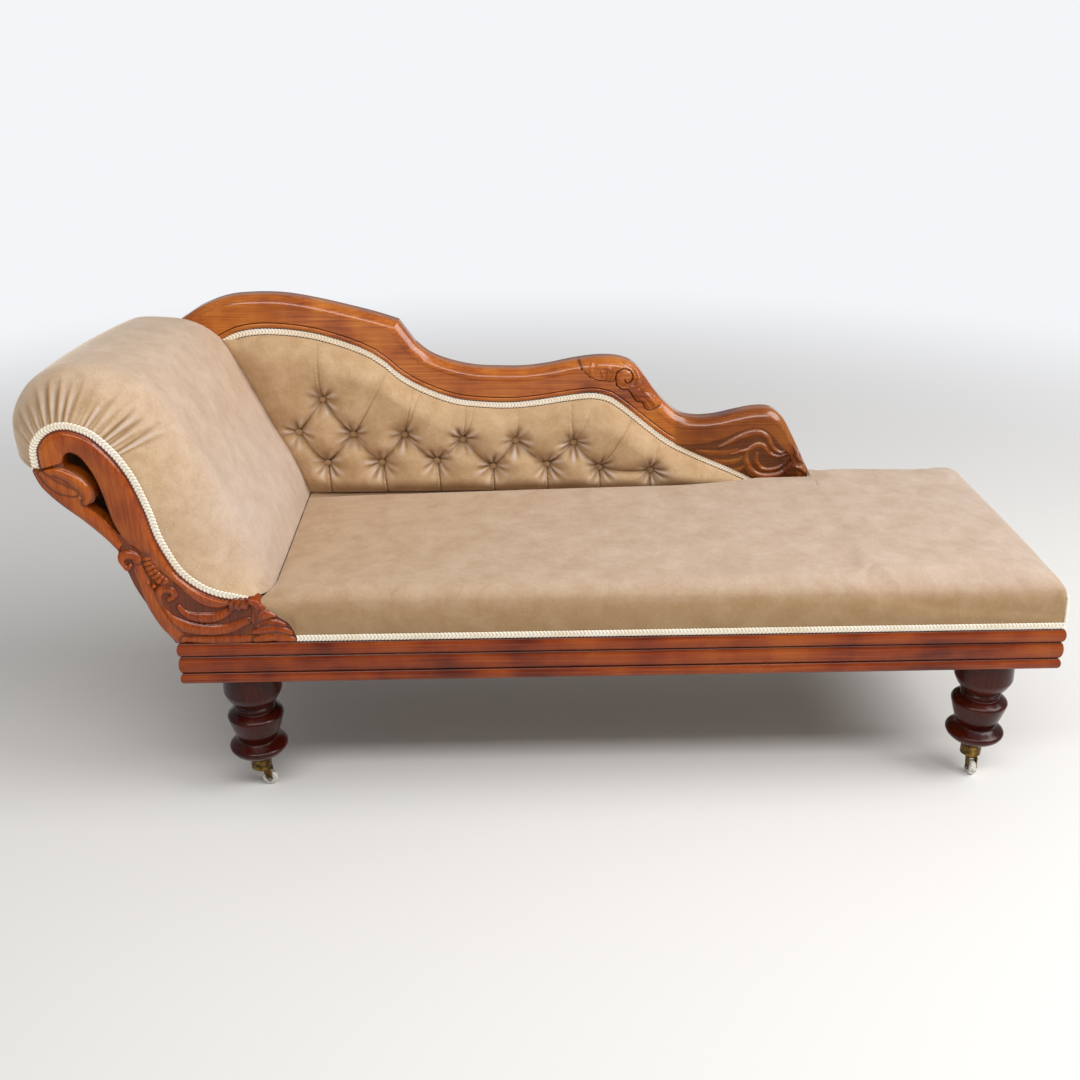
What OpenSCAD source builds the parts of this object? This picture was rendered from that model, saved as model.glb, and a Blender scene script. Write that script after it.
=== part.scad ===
// Fainting couch with a scrolled head end, a tufted low back and turned legs on castors.
// Millimetres, +Z up, +X from the head end to the foot end, +Y from the open front to the
// back. The origin is on the floor, under the middle of the whole couch.

/* [Seat frame] */
// Length of the seat frame
seat_l = 1560; // [1450:10:1750]
// Depth of the seat frame, front to back
seat_d = 570; // [540:5:660]
// Height of the seat rails
rail_h = 80; // [70:1:100]
// Thickness of the front and side rails
rail_t = 32; // [28:1:40]
// Height of the rails' underside above the floor
leg_h = 250; // [220:5:300]
// Distance of a leg's axis from the ends of the frame
leg_in_x = 110; // [90:1:130]
// Distance of a leg's axis from the front and the back of the frame
leg_in_y = 58; // [56:1:64]
// Width of the two cross stretchers
stretcher_w = 40; // [30:1:60]
// Height of the two cross stretchers
stretcher_h = 55; // [40:1:65]

/* [Legs] */
// Radius of a leg at its widest ring
leg_r = 52; // [44:1:54]
// Diameter of a leg's spigot
spigot_d = 30; // [24:1:36]
// Height of a leg's spigot
spigot_h = 46; // [30:1:60]

/* [Castors] */
// Radius of a castor wheel
wheel_r = 14; // [12:0.5:15]
// Width of a castor wheel
wheel_w = 12; // [9:0.5:14]
// Distance of a castor's axle behind its pintle
trail = 14; // [12:0.5:18]
// Thickness of the brass
brass_t = 3; // [2.5:0.1:3.5]
// Inner radius of the cup on the leg
cup_r = 17.2; // [15:0.1:19]
// Height of the cup's wall
cup_h = 20; // [12:1:24]
// Diameter of a castor's axle
axle_d = 5; // [4:0.5:6]
// Diameter of a castor's pintle
pintle_d = 8; // [7:0.5:10]

/* [Head end] */
// Reach of the scroll beyond the end of the frame
scroll_out = 193; // [160:1:220]
// Reach of the scroll's foot along the front rail
scroll_in = 207; // [190:1:230]
// Height of the scroll above the rails
scroll_h = 400; // [360:5:440]
// Thickness of the front scroll board
board_t = 22; // [18:1:28]
// Height of the carving on the board
carve_h = 8; // [5:0.5:8]
// Thickness of the upholstery wrapped over the board's edge
wrap_t = 3; // [2:0.5:5]
// Depth over which the headrest swells from the board to its full size
swell_d = 88; // [60:1:120]
// Thickness of the cross laths
lath_t = 12; // [8:1:16]

/* [Back] */
// Thickness of the back frame
back_t = 40; // [34:1:48]
// Rise of the crest rail's top above the scroll
crest_rise = 86; // [70:1:100]
// Length of the crest rail
crest_l = 1340; // [1280:10:1380]
// Start of the crest rail beyond the head end of the frame
crest_out = 118; // [110:1:124]
// Distance that the crest rail's face stands in front of the back frame
crest_proud = 6; // [4:0.5:8]
// Height of the lower rail of the back
lower_rail_h = 45; // [36:1:48]
// Width of a stile of the back
stile_w = 40; // [30:1:60]
// Radius of the crest rail's rounded top edge
crest_round = 15; // [10:0.5:18]
// Greatest thickness of the tufted back pad
back_pad_t = 40; // [30:1:44]
// Diameter of a covered button
button_d = 17; // [14:1:20]

/* [Seat upholstery] */
// Height of the seat pad's boxed sides, above the hessian
pad_edge_h = 68; // [60:1:76]
// Rise of the soft roll round the pad's top edges
pad_roll_h = 26; // [18:1:32]
// Width of that roll
pad_roll_w = 44; // [34:1:54]
// Rise of the pad's top towards the foot end
pad_crown = 12; // [4:1:18]
// Width of the gimp braid
gimp_w = 13; // [10:0.5:16]
// Thickness of the gimp braid
gimp_t = 2.5; // [1.5:0.5:3]
// Width of a webbing strap
strap_w = 40; // [30:1:44]
// Radius of a spring's end coils
spring_r = 38; // [30:1:40]

/* [Hidden] */

// Colours of the finishes
wood = "#A2501F";
plain_wood = "#B98A55";
velvet = "#C9AC84";
braid = "#EFE3C6";
jute = "#A98E62";
brass = "#B08D45";
china = "#F2EFE6";
steel = "#9A9A98";

// Clearances: between pieces at rest, round a turning shaft, and the overrun of a cut
seat_gap = 0.3;
running_gap = 0.05;
over = 1;

// Main heights and depths
rail_top = leg_h + rail_h;
hessian_t = 2;
pad_z = rail_top + hessian_t + seat_gap;
seat_top = pad_z + pad_edge_h;
crest_h = scroll_h + crest_rise;
back_y = seat_d - back_t;
crest_y = back_y - crest_proud;
cover_t = 2.5;

// The head end's own depths: the carving stands flush with the rail's face
board_y = carve_h;
board_back = board_y + board_t;
head_end_y = crest_y - seat_gap;

// Boxes that the two shaped outlines are shares of
scroll_w = scroll_out + scroll_in;
function in_scroll(p) = [p[0] * scroll_w - scroll_out, p[1] * scroll_h + rail_top];
function in_crest(p) = [p[0] * crest_l - crest_out, p[1] * crest_h + rail_top];

// Head end, from the seat up and over the roll: a row gives one place on the braid's line
// along the scroll, and the place on the full headrest that it swells to
head_shares = [
    [0.812, 0.220, 0.890, 0.175], [0.757, 0.235, 0.877, 0.228],
    [0.680, 0.255, 0.862, 0.288], [0.610, 0.295, 0.838, 0.356],
    [0.552, 0.355, 0.808, 0.422], [0.512, 0.435, 0.770, 0.494],
    [0.482, 0.517, 0.733, 0.568], [0.463, 0.608, 0.693, 0.656],
    [0.438, 0.695, 0.652, 0.744], [0.410, 0.775, 0.608, 0.836],
    [0.367, 0.855, 0.552, 0.934], [0.320, 0.917, 0.490, 1.018],
    [0.273, 0.963, 0.408, 1.088], [0.223, 0.990, 0.318, 1.128],
    [0.168, 1.005, 0.218, 1.138], [0.107, 0.998, 0.108, 1.114],
    [0.048, 0.963, 0.018, 1.052], [0.007, 0.900, -0.040, 0.965],
    [0.003, 0.812, -0.035, 0.820]
];
// Inner edge of the scroll's main limb, row for row with the braid's line
limb_shares = [
    [0.743, 0.182], [0.667, 0.165], [0.593, 0.195], [0.527, 0.268], [0.458, 0.345],
    [0.388, 0.430], [0.333, 0.487], [0.302, 0.550], [0.285, 0.618], [0.273, 0.680],
    [0.260, 0.735], [0.245, 0.782], [0.230, 0.812], [0.212, 0.843], [0.193, 0.865],
    [0.172, 0.875], [0.155, 0.873], [0.140, 0.863], [0.130, 0.835]
];
// Toe of the scroll, from the end of the braid down to the front rail
toe_shares = [[0.873, 0.200], [0.943, 0.152], [0.980, 0.087], [1.000, 0.007]];
// Outside of the scroll, from the front rail up its back to the tip of the roll
heel_shares = [
    [0.477, 0.007], [0.435, 0.072], [0.395, 0.160], [0.347, 0.265], [0.320, 0.350],
    [0.295, 0.405], [0.297, 0.438]
];
// Lower limb: a row gives one place on its outside and one on its inside
lower_shares = [
    [0.297, 0.438, 0.318, 0.475], [0.253, 0.497, 0.282, 0.525],
    [0.185, 0.570, 0.253, 0.585], [0.138, 0.613, 0.233, 0.642],
    [0.098, 0.650, 0.212, 0.680], [0.062, 0.688, 0.237, 0.705],
    [0.030, 0.730, 0.248, 0.760], [0.013, 0.770, 0.218, 0.815],
    [0.005, 0.800, 0.172, 0.842]
];
// Crest rail, from the headrest to the sharp bend: a row gives the top and the bottom edge
crest_head_shares = [
    [0.007, 0.830, 0.012, 0.815], [0.024, 0.872, 0.036, 0.774],
    [0.046, 0.912, 0.060, 0.715], [0.073, 0.955, 0.082, 0.790],
    [0.110, 0.990, 0.118, 0.846], [0.151, 1.000, 0.151, 0.864],
    [0.193, 0.996, 0.189, 0.862], [0.237, 0.975, 0.230, 0.846],
    [0.284, 0.944, 0.267, 0.817], [0.327, 0.912, 0.297, 0.786],
    [0.359, 0.883, 0.316, 0.761], [0.383, 0.790, 0.336, 0.722]
];
// Crest rail, from the bend down to its foot on the lower rail
crest_foot_shares = [
    [0.383, 0.790, 0.336, 0.722], [0.404, 0.743, 0.360, 0.663],
    [0.434, 0.708, 0.394, 0.609], [0.472, 0.685, 0.439, 0.562],
    [0.510, 0.679, 0.484, 0.545], [0.548, 0.679, 0.528, 0.541],
    [0.585, 0.691, 0.569, 0.551], [0.623, 0.712, 0.610, 0.568],
    [0.661, 0.724, 0.649, 0.578], [0.692, 0.718, 0.674, 0.564],
    [0.715, 0.691, 0.689, 0.539], [0.731, 0.640, 0.704, 0.508],
    [0.747, 0.578, 0.721, 0.469], [0.768, 0.512, 0.741, 0.424],
    [0.790, 0.467, 0.766, 0.372], [0.816, 0.453, 0.793, 0.331],
    [0.846, 0.459, 0.823, 0.292], [0.875, 0.477, 0.857, 0.251],
    [0.905, 0.492, 0.887, 0.212], [0.931, 0.488, 0.913, 0.175],
    [0.950, 0.449, 0.931, 0.156], [0.965, 0.381, 0.950, 0.147],
    [0.980, 0.302, 0.969, 0.147], [1.000, 0.195, 0.993, 0.147]
];
// Buttons of the back: the single high one, the middle row and the bottom row
button_shares = [
    [0.241, 0.568],
    [0.201, 0.424], [0.284, 0.412], [0.362, 0.409], [0.451, 0.385], [0.533, 0.377],
    [0.622, 0.366],
    [0.241, 0.286], [0.325, 0.284], [0.410, 0.290], [0.497, 0.261], [0.581, 0.267],
    [0.663, 0.251], [0.743, 0.235]
];
// Folds of the velvet between buttons, by their places in the list above
folds = [
    [0, 1], [0, 2], [1, 7], [7, 2], [2, 8], [8, 3], [3, 9], [9, 4], [4, 10], [10, 5],
    [5, 11], [11, 6], [6, 12], [12, 13]
];
high_buttons = [0, 3, 4, 5, 6];
low_buttons = [7, 8, 9, 10, 11, 12, 13];
// Turned leg, from its foot up: a row gives height and radius
leg_shares = [
    [0.095, 0.42], [0.133, 0.62], [0.181, 0.88], [0.220, 1.00], [0.254, 0.98],
    [0.292, 0.73], [0.316, 0.69], [0.398, 0.81], [0.519, 0.95], [0.557, 0.95],
    [0.591, 0.77], [0.605, 0.67], [0.639, 0.69], [0.663, 0.65], [0.711, 0.83],
    [0.783, 0.98], [0.831, 1.00], [1.000, 0.96]
];

// Steps that smooth each stretch of an outline
smooth = 2;
// Place on the smooth curve through four points, a share t of the way from b to c
function spline(a, b, c, d, t) =
    (2 * b + (c - a) * t + (2 * a - 5 * b + 4 * c - d) * pow(t, 2)
    + (3 * b - a - 3 * c + d) * pow(t, 3)) / 2;
// Smooth curve through a list of points or rows
function curve(p, n = smooth) = let (last = len(p) - 1) concat(
    [for (i = [0 : last - 1], j = [0 : n - 1])
        spline(p[max(i - 1, 0)], p[i], p[i + 1], p[min(i + 2, last)], j / n)],
    [p[last]]);
function mix(a, b, t) = a + (b - a) * t;
function unit(v) = v / norm(v);
// Line drawn a distance to the right of another, seen in the direction of its points
function beside(p, d) = let (last = len(p) - 1) [for (i = [0 : last])
    let (t = unit(p[min(i + 1, last)] - p[max(i - 1, 0)])) p[i] + d * [t[1], -t[0]]];
function reversed(p) = [for (i = [len(p) - 1 : -1 : 0]) p[i]];
function first_of(p) = [for (q = p) [q[0], q[1]]];
function second_of(p) = [for (q = p) [q[2], q[3]]];
function bound(x, low, high) = max(low, min(high, x));

// Solid skin over a list of rings with equal numbers of points. The ends of a crescent are
// closed in strips from the first half of its points to the second
module skin(rings, crescent = false) {
    n = len(rings[0]);
    m = len(rings);
    end = crescent ? [for (j = [0 : n / 2 - 2]) [j, j + 1, n - 2 - j, n - 1 - j]]
        : [[for (j = [0 : n - 1]) j]];
    polyhedron(
        [for (r = rings) each r],
        concat(
            end,
            [for (i = [0 : m - 2], j = [0 : n - 1]) let (k = (j + 1) % n)
                each [[i * n + j, (i + 1) * n + j, (i + 1) * n + k],
                      [i * n + j, (i + 1) * n + k, i * n + k]]],
            [for (f = end) [for (j = concat([f[0]], [for (k = [len(f) - 1 : -1 : 1]) f[k]]))
                (m - 1) * n + j]]),
        convexity = 6);
}

// Flat outline in length and height, made solid from depth y0 to depth y1
module upright(y0, y1) {
    translate([0, y1, 0]) rotate([90, 0, 0]) linear_extrude(y1 - y0, convexity = 6) children();
}

// Where the whole couch stands: its origin is under the middle of its box
head_curve = curve([for (r = head_shares)
    concat(in_scroll([r[0], r[1]]), in_scroll([r[2], r[3]]))]);
braid_line = first_of(head_curve);
head_line = second_of(head_curve);
x_low = min([for (p = head_line) p[0]]);
x_mid = (x_low + seat_l) / 2;
y_mid = (seat_d + cover_t) / 2;
module placed() { translate([-x_mid, -y_mid, 0]) children(); }

// Reeded rail: three rounded reeds over the height, cut back between them
reed_d = 6;
reed_shares = [0, 0.26, 0.67, 1];
reed_steps = 8;
reed_profile = concat(
    [for (i = [0 : 2]) each [for (j = [0 : reed_steps])
        let (z = mix(reed_shares[i], reed_shares[i + 1], j / reed_steps),
             rise = sqrt(1 - pow(2 * j / reed_steps - 1, 2)))
        [reed_d * (1 - rise), z * rail_h]]],
    [[rail_t, rail_h], [rail_t, 0]]);

module front_rail() {
    color(wood) placed() translate([0, 0, leg_h]) intersection() {
        rotate([90, 0, 90]) linear_extrude(seat_l) polygon(reed_profile);
        linear_extrude(rail_h) polygon([[0, 0], [seat_l, 0],
            [seat_l - rail_t, rail_t], [rail_t, rail_t]]);
    }
}

// Rail along the head end, mitred to the front rail
module side_rail() {
    intersection() {
        translate([0, seat_d, 0]) rotate([90, 0, 0]) linear_extrude(seat_d)
            polygon(reed_profile);
        linear_extrude(rail_h) polygon([[0, 0], [rail_t, rail_t],
            [rail_t, seat_d], [0, seat_d]]);
    }
}

module head_rail() { color(wood) placed() translate([0, 0, leg_h]) side_rail(); }

module foot_rail() {
    color(wood) placed() translate([seat_l, 0, leg_h]) mirror([1, 0, 0]) side_rail();
}

// Bolts of the back, through the rear rail into the lower rail
bolt_d = 8;
bolt_head_h = 5;
bolt_bite = 28;
lower_x0 = scroll_in + seat_gap;
lower_x1 = crest_l - crest_out;
bolt_y = back_y + back_t / 2;

// Webbing and springs: columns along the seat, rows across it; the bolts stand between
spring_cols = 6;
spring_rows = 3;
spring_x0 = lower_x0 - stretcher_w / 2;
spring_x1 = seat_l - leg_in_x + stretcher_w / 2;
spring_pitch_x = (spring_x1 - spring_x0) / spring_cols;
spring_pitch_y = (seat_d - 2 * leg_in_y - 2 * spring_r) / spring_rows + spring_r / 2;
strap_t = 2;
function spring_x(i) = spring_x0 + (i + 1 / 2) * spring_pitch_x;
function spring_y(j) = seat_d / 2 + (j - 1) * spring_pitch_y;
strap_tack = 6;
bolt_x = [for (i = [1 : 4]) spring_x0 + i * spring_pitch_x];

module rear_rail() {
    color(plain_wood) placed() difference() {
        translate([rail_t, back_y, leg_h]) cube([seat_l - 2 * rail_t, back_t, rail_h]);
        for (x = bolt_x) translate([x, bolt_y, leg_h - over])
            cylinder(d = bolt_d + 2 * running_gap, h = rail_h + 2 * over, $fn = 32);
    }
}

// One block in a corner of the frame, bored for a leg's spigot
block_wall = 12;
module corner_block() {
    reach = spigot_d / 2 + block_wall;
    difference() {
        translate([rail_t, rail_t, 0]) cube([leg_in_x + reach - rail_t,
            leg_in_y + reach - rail_t, rail_h - seat_gap]);
        translate([leg_in_x, leg_in_y, -over])
            cylinder(d = spigot_d + 2 * running_gap, h = spigot_h + over + seat_gap, $fn = 48);
    }
}
// The rear rail is thicker than the front one, so a rear block is cut to it
module rear_block() {
    intersection() {
        corner_block();
        translate([0, back_t, -over]) cube([leg_in_x * 2, leg_in_y * 2, rail_h + 2 * over]);
    }
}
module corner_blocks() {
    color(plain_wood) placed() translate([0, 0, leg_h]) {
        corner_block();
        translate([seat_l, 0, 0]) mirror([1, 0, 0]) corner_block();
        translate([0, seat_d, 0]) mirror([0, 1, 0]) rear_block();
        translate([seat_l, seat_d, 0]) mirror([1, 0, 0]) mirror([0, 1, 0]) rear_block();
    }
}

// Stretchers stand between spring columns and are dished on their underside
module seat_stretchers() {
    color(plain_wood) placed() for (i = [2, 4])
        translate([spring_x0 + i * spring_pitch_x - stretcher_w / 2, 0, 0])
            rotate([90, 0, 90]) linear_extrude(stretcher_w) polygon(concat(
                [[back_y, rail_top], [rail_t, rail_top]],
                [for (t = [0 : 1 / 8 : 1]) [mix(rail_t, back_y, t),
                    rail_top - stretcher_h * (1 - sin(180 * t) / 3)]]));
}

module webbing_cross() {
    color(jute) placed() for (i = [0 : spring_cols - 1])
        translate([spring_x(i) - strap_w / 2, strap_tack + reed_d, leg_h - strap_t])
            cube([strap_w, seat_d - 2 * strap_tack - reed_d, strap_t]);
}

module webbing_long() {
    color(jute) placed() for (j = [0 : spring_rows - 1])
        translate([strap_tack + reed_d, spring_y(j) - strap_w / 2, leg_h - 2 * strap_t])
            cube([seat_l - 2 * strap_tack - 2 * reed_d, strap_w, strap_t]);
}

// Hourglass coil springs, each one unbroken wire
wire_r = 1.6;
spring_turns = 4;
turn_steps = 6;
waist_share = 0.65;
module seat_springs() {
    h = rail_h - 2 * wire_r - 2 * seat_gap;
    steps = spring_turns * turn_steps;
    color(steel) placed() for (i = [0 : spring_cols - 1], j = [0 : spring_rows - 1])
        translate([spring_x(i), spring_y(j), leg_h + wire_r + seat_gap])
            skin([for (k = [0 : steps])
                let (t = k / steps, a = 360 * k / turn_steps,
                     r = spring_r * mix(1, waist_share, sin(180 * t)))
                [for (b = [330, 210, 90]) [(r + wire_r * cos(b)) * cos(a),
                    (r + wire_r * cos(b)) * sin(a), h * t + wire_r * sin(b)]]]);
}

// Lines of the scroll that several pieces follow
board_line = beside(braid_line, -wrap_t);
lining_inset = 12;
lining_t = 2;
limb_line = curve([for (p = limb_shares) in_scroll(p)]);
toe_line = curve([for (p = toe_shares) in_scroll(p)]);
heel_line = curve([for (p = heel_shares) in_scroll(p)]);
lower_curve = curve([for (r = lower_shares)
    concat(in_scroll([r[0], r[1]]), in_scroll([r[2], r[3]]))]);
board_outline = concat(reversed(board_line), toe_line,
    [[scroll_in, rail_top], [heel_line[0][0], rail_top]], heel_line,
    [for (i = [1 : len(lower_curve) - 1]) first_of(lower_curve)[i]]);

// Front edge of the seat's upholstery: behind the scroll's foot, then out to the rail
pad_x0 = in_scroll([head_shares[0][2], 0])[0] + 2 * seat_gap;
pad_side = 5;
pad_x1 = seat_l - pad_side;
step_x = scroll_in + seat_gap;
foot_x = lower_x1 + 2 * seat_gap;
module spring_hessian() {
    color(jute) placed() translate([0, 0, rail_top]) linear_extrude(hessian_t)
        polygon([[pad_x0, board_back + seat_gap], [step_x, board_back + seat_gap],
            [step_x, 2 * pad_side], [seat_l - 2 * pad_side, 2 * pad_side],
            [seat_l - 2 * pad_side, seat_d - 2 * pad_side], [foot_x, seat_d - 2 * pad_side],
            [foot_x, back_y - seat_gap], [pad_x0, back_y - seat_gap]]);
}

// Seat pad: boxed sides bulge over the braid and draw in under it, and a soft roll runs round
// the top. A row gives shares of the bulge outwards and of the side's height, or of the roll's
// width and of its rise
pad_side_shares = [[0, 0], [0, 0.20], [-1.0, 0.50], [-0.8, 0.75], [0, 1]];
roll_shares = [[0.06, 0.35], [0.24, 0.62], [0.55, 0.86], [1, 1]];
pad_bulge = 3.5;
pad_steps = 10;
pad_tilt = 2.2;
pad_tilt_reach = 250;
pad_head_reach = 110;
pad_behind = board_back + seat_gap;
pad_front = pad_side + over;
pad_head_rounding = 0.4;
function pad_rise(x, y) = let (u = (x - pad_x0) / (pad_x1 - pad_x0)) pad_roll_h + pad_crown
    * (1 - pad_tilt * pow(1 - u, 2)) * sin(90 * bound((y - pad_front) / pad_tilt_reach, 0, 1));
// How far the pad's top is drawn down where it meets the headrest
function drawn_at(x) = 1 - pow(bound((x - pad_x0) / pad_head_reach, 0, 1), pad_head_rounding);
// Place where the pad's top reaches down in front of the back pad, or of the crest's foot
function fall_y(x) = x < under_edge[len(under_edge) - 1][0] ? back_y - back_pad_t
    : crest_y - 2 * over;
// One ring of the pad at place x, from its front side over the top to its back side
function pad_ring(x, front, back, y_end, drawn) = let (
    y0 = front[len(front) - 1][0], box = front[len(front) - 1][1],
    y_roll = y0 + pad_roll_w, y_fall = y_end - pad_roll_w)
    concat(
        [for (p = front) [x, p[0], p[1]]],
        [for (s = roll_shares) let (y = y0 + s[0] * pad_roll_w)
            [x, y, mix(box, seat_top + (1 - drawn) * pad_rise(x, y), s[1])]],
        [for (i = [1 : pad_steps - 1]) let (y = mix(y_roll, y_fall, i / pad_steps))
            [x, y, seat_top + (1 - drawn) * pad_rise(x, y)]],
        [for (s = reversed(roll_shares)) let (y = y_end - s[0] * pad_roll_w)
            [x, y, mix(seat_top, seat_top + (1 - drawn) * pad_rise(x, y), s[1])]],
        [[x, y_end, seat_top]],
        [for (p = back) [x, p[0], p[1]]],
        [[x, (y0 + y_end) / 2, pad_z]]);
// Front sides: free, flat behind the scroll, and over its toe from a ledge upwards
function side_z(t) = pad_z + t * pad_edge_h;
free_front = [for (s = pad_side_shares) [pad_front + s[0] * pad_bulge, side_z(s[1])]];
function flat_front(y) = [for (s = pad_side_shares) [y, side_z(s[1])]];
function toe_front(y, z) = let (box = max(seat_top, z + over))
    [[pad_behind, pad_z], [pad_behind, z], [y, z + seat_gap],
     [y, mix(z + seat_gap, box, 1 / 2)], [y, box]];
// Back sides: against the back frame, and free where the foot end has no back
back_wall_y = back_y - 2 * seat_gap;
pad_rear = seat_d - pad_side;
wall_back = [[back_wall_y, seat_top], [back_wall_y, side_z(1 / 2)], [back_wall_y, pad_z]];
free_back = [for (k = [2, 1, 0])
    [pad_rear - pad_side_shares[k][0] * pad_bulge, side_z(pad_side_shares[k][1])]];
toe_ledge = beside(toe_line, -2 * seat_gap);
module seat_pad() {
    head_x = toe_ledge[1][0];
    head_z = toe_ledge[1][1];
    color(velvet) placed() skin([for (ring = concat(
        [pad_ring(pad_x0, flat_front(pad_behind), wall_back, fall_y(pad_x0), 1)],
        [for (place = [[head_x, pad_behind], [head_x + 2 * over, pad_front]])
            pad_ring(place[0], toe_front(place[1], head_z), wall_back, fall_y(head_x),
                drawn_at(head_x))],
        [for (i = [2 : len(toe_ledge) - 1]) let (p = toe_ledge[i])
            pad_ring(p[0], toe_front(pad_front, p[1]), wall_back, fall_y(p[0]), drawn_at(p[0]))],
        [for (i = [0 : 12]) let (x = mix(step_x + 3 * seat_gap, foot_x - seat_gap, i / 12))
            pad_ring(x, i == 0 ? flat_front(pad_front) : free_front, wall_back, fall_y(x),
                drawn_at(x))],
        [for (i = [0 : 3]) pad_ring(mix(foot_x, pad_x1 - pad_roll_w, i / 4),
            free_front, free_back, pad_rear, 0)],
        [for (s = reversed(roll_shares)) pad_ring(pad_x1 - s[0] * pad_roll_w,
            free_front, free_back, pad_rear, 1 - s[1])],
        [pad_ring(pad_x1, free_front, free_back, pad_rear, 1)])) reversed(ring)]);
}

// Braid round the seat's lower edge: along the front, round the foot end and on to the back
module seat_gimp() {
    outer_y = pad_rear + gimp_t;
    color(braid) placed() translate([0, 0, rail_top]) linear_extrude(gimp_w)
        polygon([[step_x, pad_side], [step_x, pad_side - gimp_t],
            [pad_x1 + gimp_t, pad_side - gimp_t], [pad_x1 + gimp_t, outer_y],
            [foot_x, outer_y], [foot_x, pad_rear + seat_gap],
            [pad_x1 + seat_gap, pad_rear + seat_gap], [pad_x1 + seat_gap, pad_side]]);
}

// Cord sewn up the corner of the seat at the foot end
piping_r = 2.5;
module corner_piping() {
    color(braid) placed()
        translate([pad_x1 + piping_r, pad_side - piping_r, rail_top + gimp_w + seat_gap])
            cylinder(r = piping_r, h = pad_edge_h - gimp_w - piping_r, $fn = 24);
}

// Front board of the scroll, pierced with a slot
slot_first = 12;

module scroll_front() {
    color(wood) placed() upright(board_y, board_back) difference() {
        polygon(board_outline);
        polygon(concat([for (i = [slot_first : len(limb_line) - 3]) limb_line[i]],
            [for (i = [len(lower_curve) - 2 : -1 : 1]) second_of(lower_curve)[i]]));
    }
}

// The rear board is plain. It reaches up to the crest rail and is cut to its underside
crest_seat_rows = 4;
module scroll_rear() {
    color(plain_wood) placed() upright(back_y, seat_d) difference() {
        union() {
            polygon(board_outline);
            polygon(concat([in_scroll(crown_share)],
                [for (i = [0 : crest_seat_rows]) crest_low_line[i]]));
        }
        polygon(concat([for (p = crest_low_line) p - [0, seat_gap]],
            [for (r = reversed(crest_head_rows)) first_of([r])[0] + [0, over]]));
    }
}

// Moulded band laid on a flat face at depth y: its ends are at the two edges given
module band(edge_a, edge_b, y, section) {
    skin([for (i = [0 : len(edge_a) - 1]) let (a = edge_a[i], b = edge_b[i])
        [for (s = section) let (p = mix(a, b, s[0])) [p[0], y - s[1], p[1]]]]);
}

// Rounded ridge along a path on a flat face, its half widths and heights given point by point
module ridge(path, width, height, y) {
    n = len(path) - 1;
    skin([for (i = [0 : n]) let (
        t = unit(path[min(i + 1, n)] - path[max(i - 1, 0)]), side = [-t[1], t[0]],
        w = width[min(i, len(width) - 1)], h = height[min(i, len(height) - 1)])
        [for (s = [[1, 0], [0.8, 0.6], [0.3, 1], [-0.3, 1], [-0.8, 0.6], [-1, 0]])
            let (p = path[i] + side * s[0] * w) [p[0], y - s[1] * h, p[1]]]]);
}

// Taper of a ridge that swells from both ends
function swell(n, least, most) = [for (i = [0 : n]) mix(least, most, sin(180 * i / n))];
// Part of a spiral round a centre, from angle a0 to a1 and from radius r0 to r1
function spiral(c, a0, a1, r0, r1, n) = [for (i = [0 : n])
    let (a = mix(a0, a1, i / n)) c + mix(r0, r1, i / n) * [cos(a), sin(a)]];

// Round boss on a flat face at depth y, domed to a height
module boss(c, r, h, y) {
    translate([c[0], y, c[1]]) rotate([90, 0, 0]) rotate_extrude($fn = 20)
        polygon(concat([[0, 0]], [for (a = [0 : 30 : 90]) [r * cos(a), h * sin(a)]]));
}

// Carving of the scroll: the rounded main limb, the lower limb with its boss, the volute
// with a row of beads, the two C-scrolls and the leaf that fans out over the toe
limb_section_shares = [[0, 0], [0.04, 0.7], [0.16, 1], [0.34, 0.92], [0.72, 0.66],
    [0.97, 0.5], [1, 0]];
lower_section_shares = [[0.06, 0], [0.12, 0.5], [0.30, 0.62], [0.70, 0.5], [0.94, 0]];
big_c_shares = [[0.333, 0.362], [0.356, 0.300], [0.398, 0.208], [0.452, 0.130],
    [0.533, 0.075], [0.633, 0.048], [0.733, 0.048], [0.790, 0.066], [0.822, 0.098]];
small_c_shares = [[0.560, 0.196], [0.530, 0.212], [0.503, 0.190], [0.510, 0.152],
    [0.560, 0.120], [0.640, 0.108], [0.715, 0.118], [0.765, 0.150]];
bead_shares = [[0.388, 0.330], [0.413, 0.288], [0.443, 0.250], [0.480, 0.222]];
fan_shares = [
    [[0.856, 0.034], [0.905, 0.028], [0.985, 0.020]],
    [[0.862, 0.066], [0.910, 0.062], [0.983, 0.052]],
    [[0.860, 0.097], [0.905, 0.098], [0.965, 0.088]],
    [[0.848, 0.126], [0.885, 0.132], [0.935, 0.126]]
];
c_w = 6.5;
fan_w = 5.5;
bead_r = 6;
volute_r = 11;
volute_share = [0.322, 0.402];
crown_boss_r = 14;
cuff_rows = 2;
crown_share = [0.200, 0.722];
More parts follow.
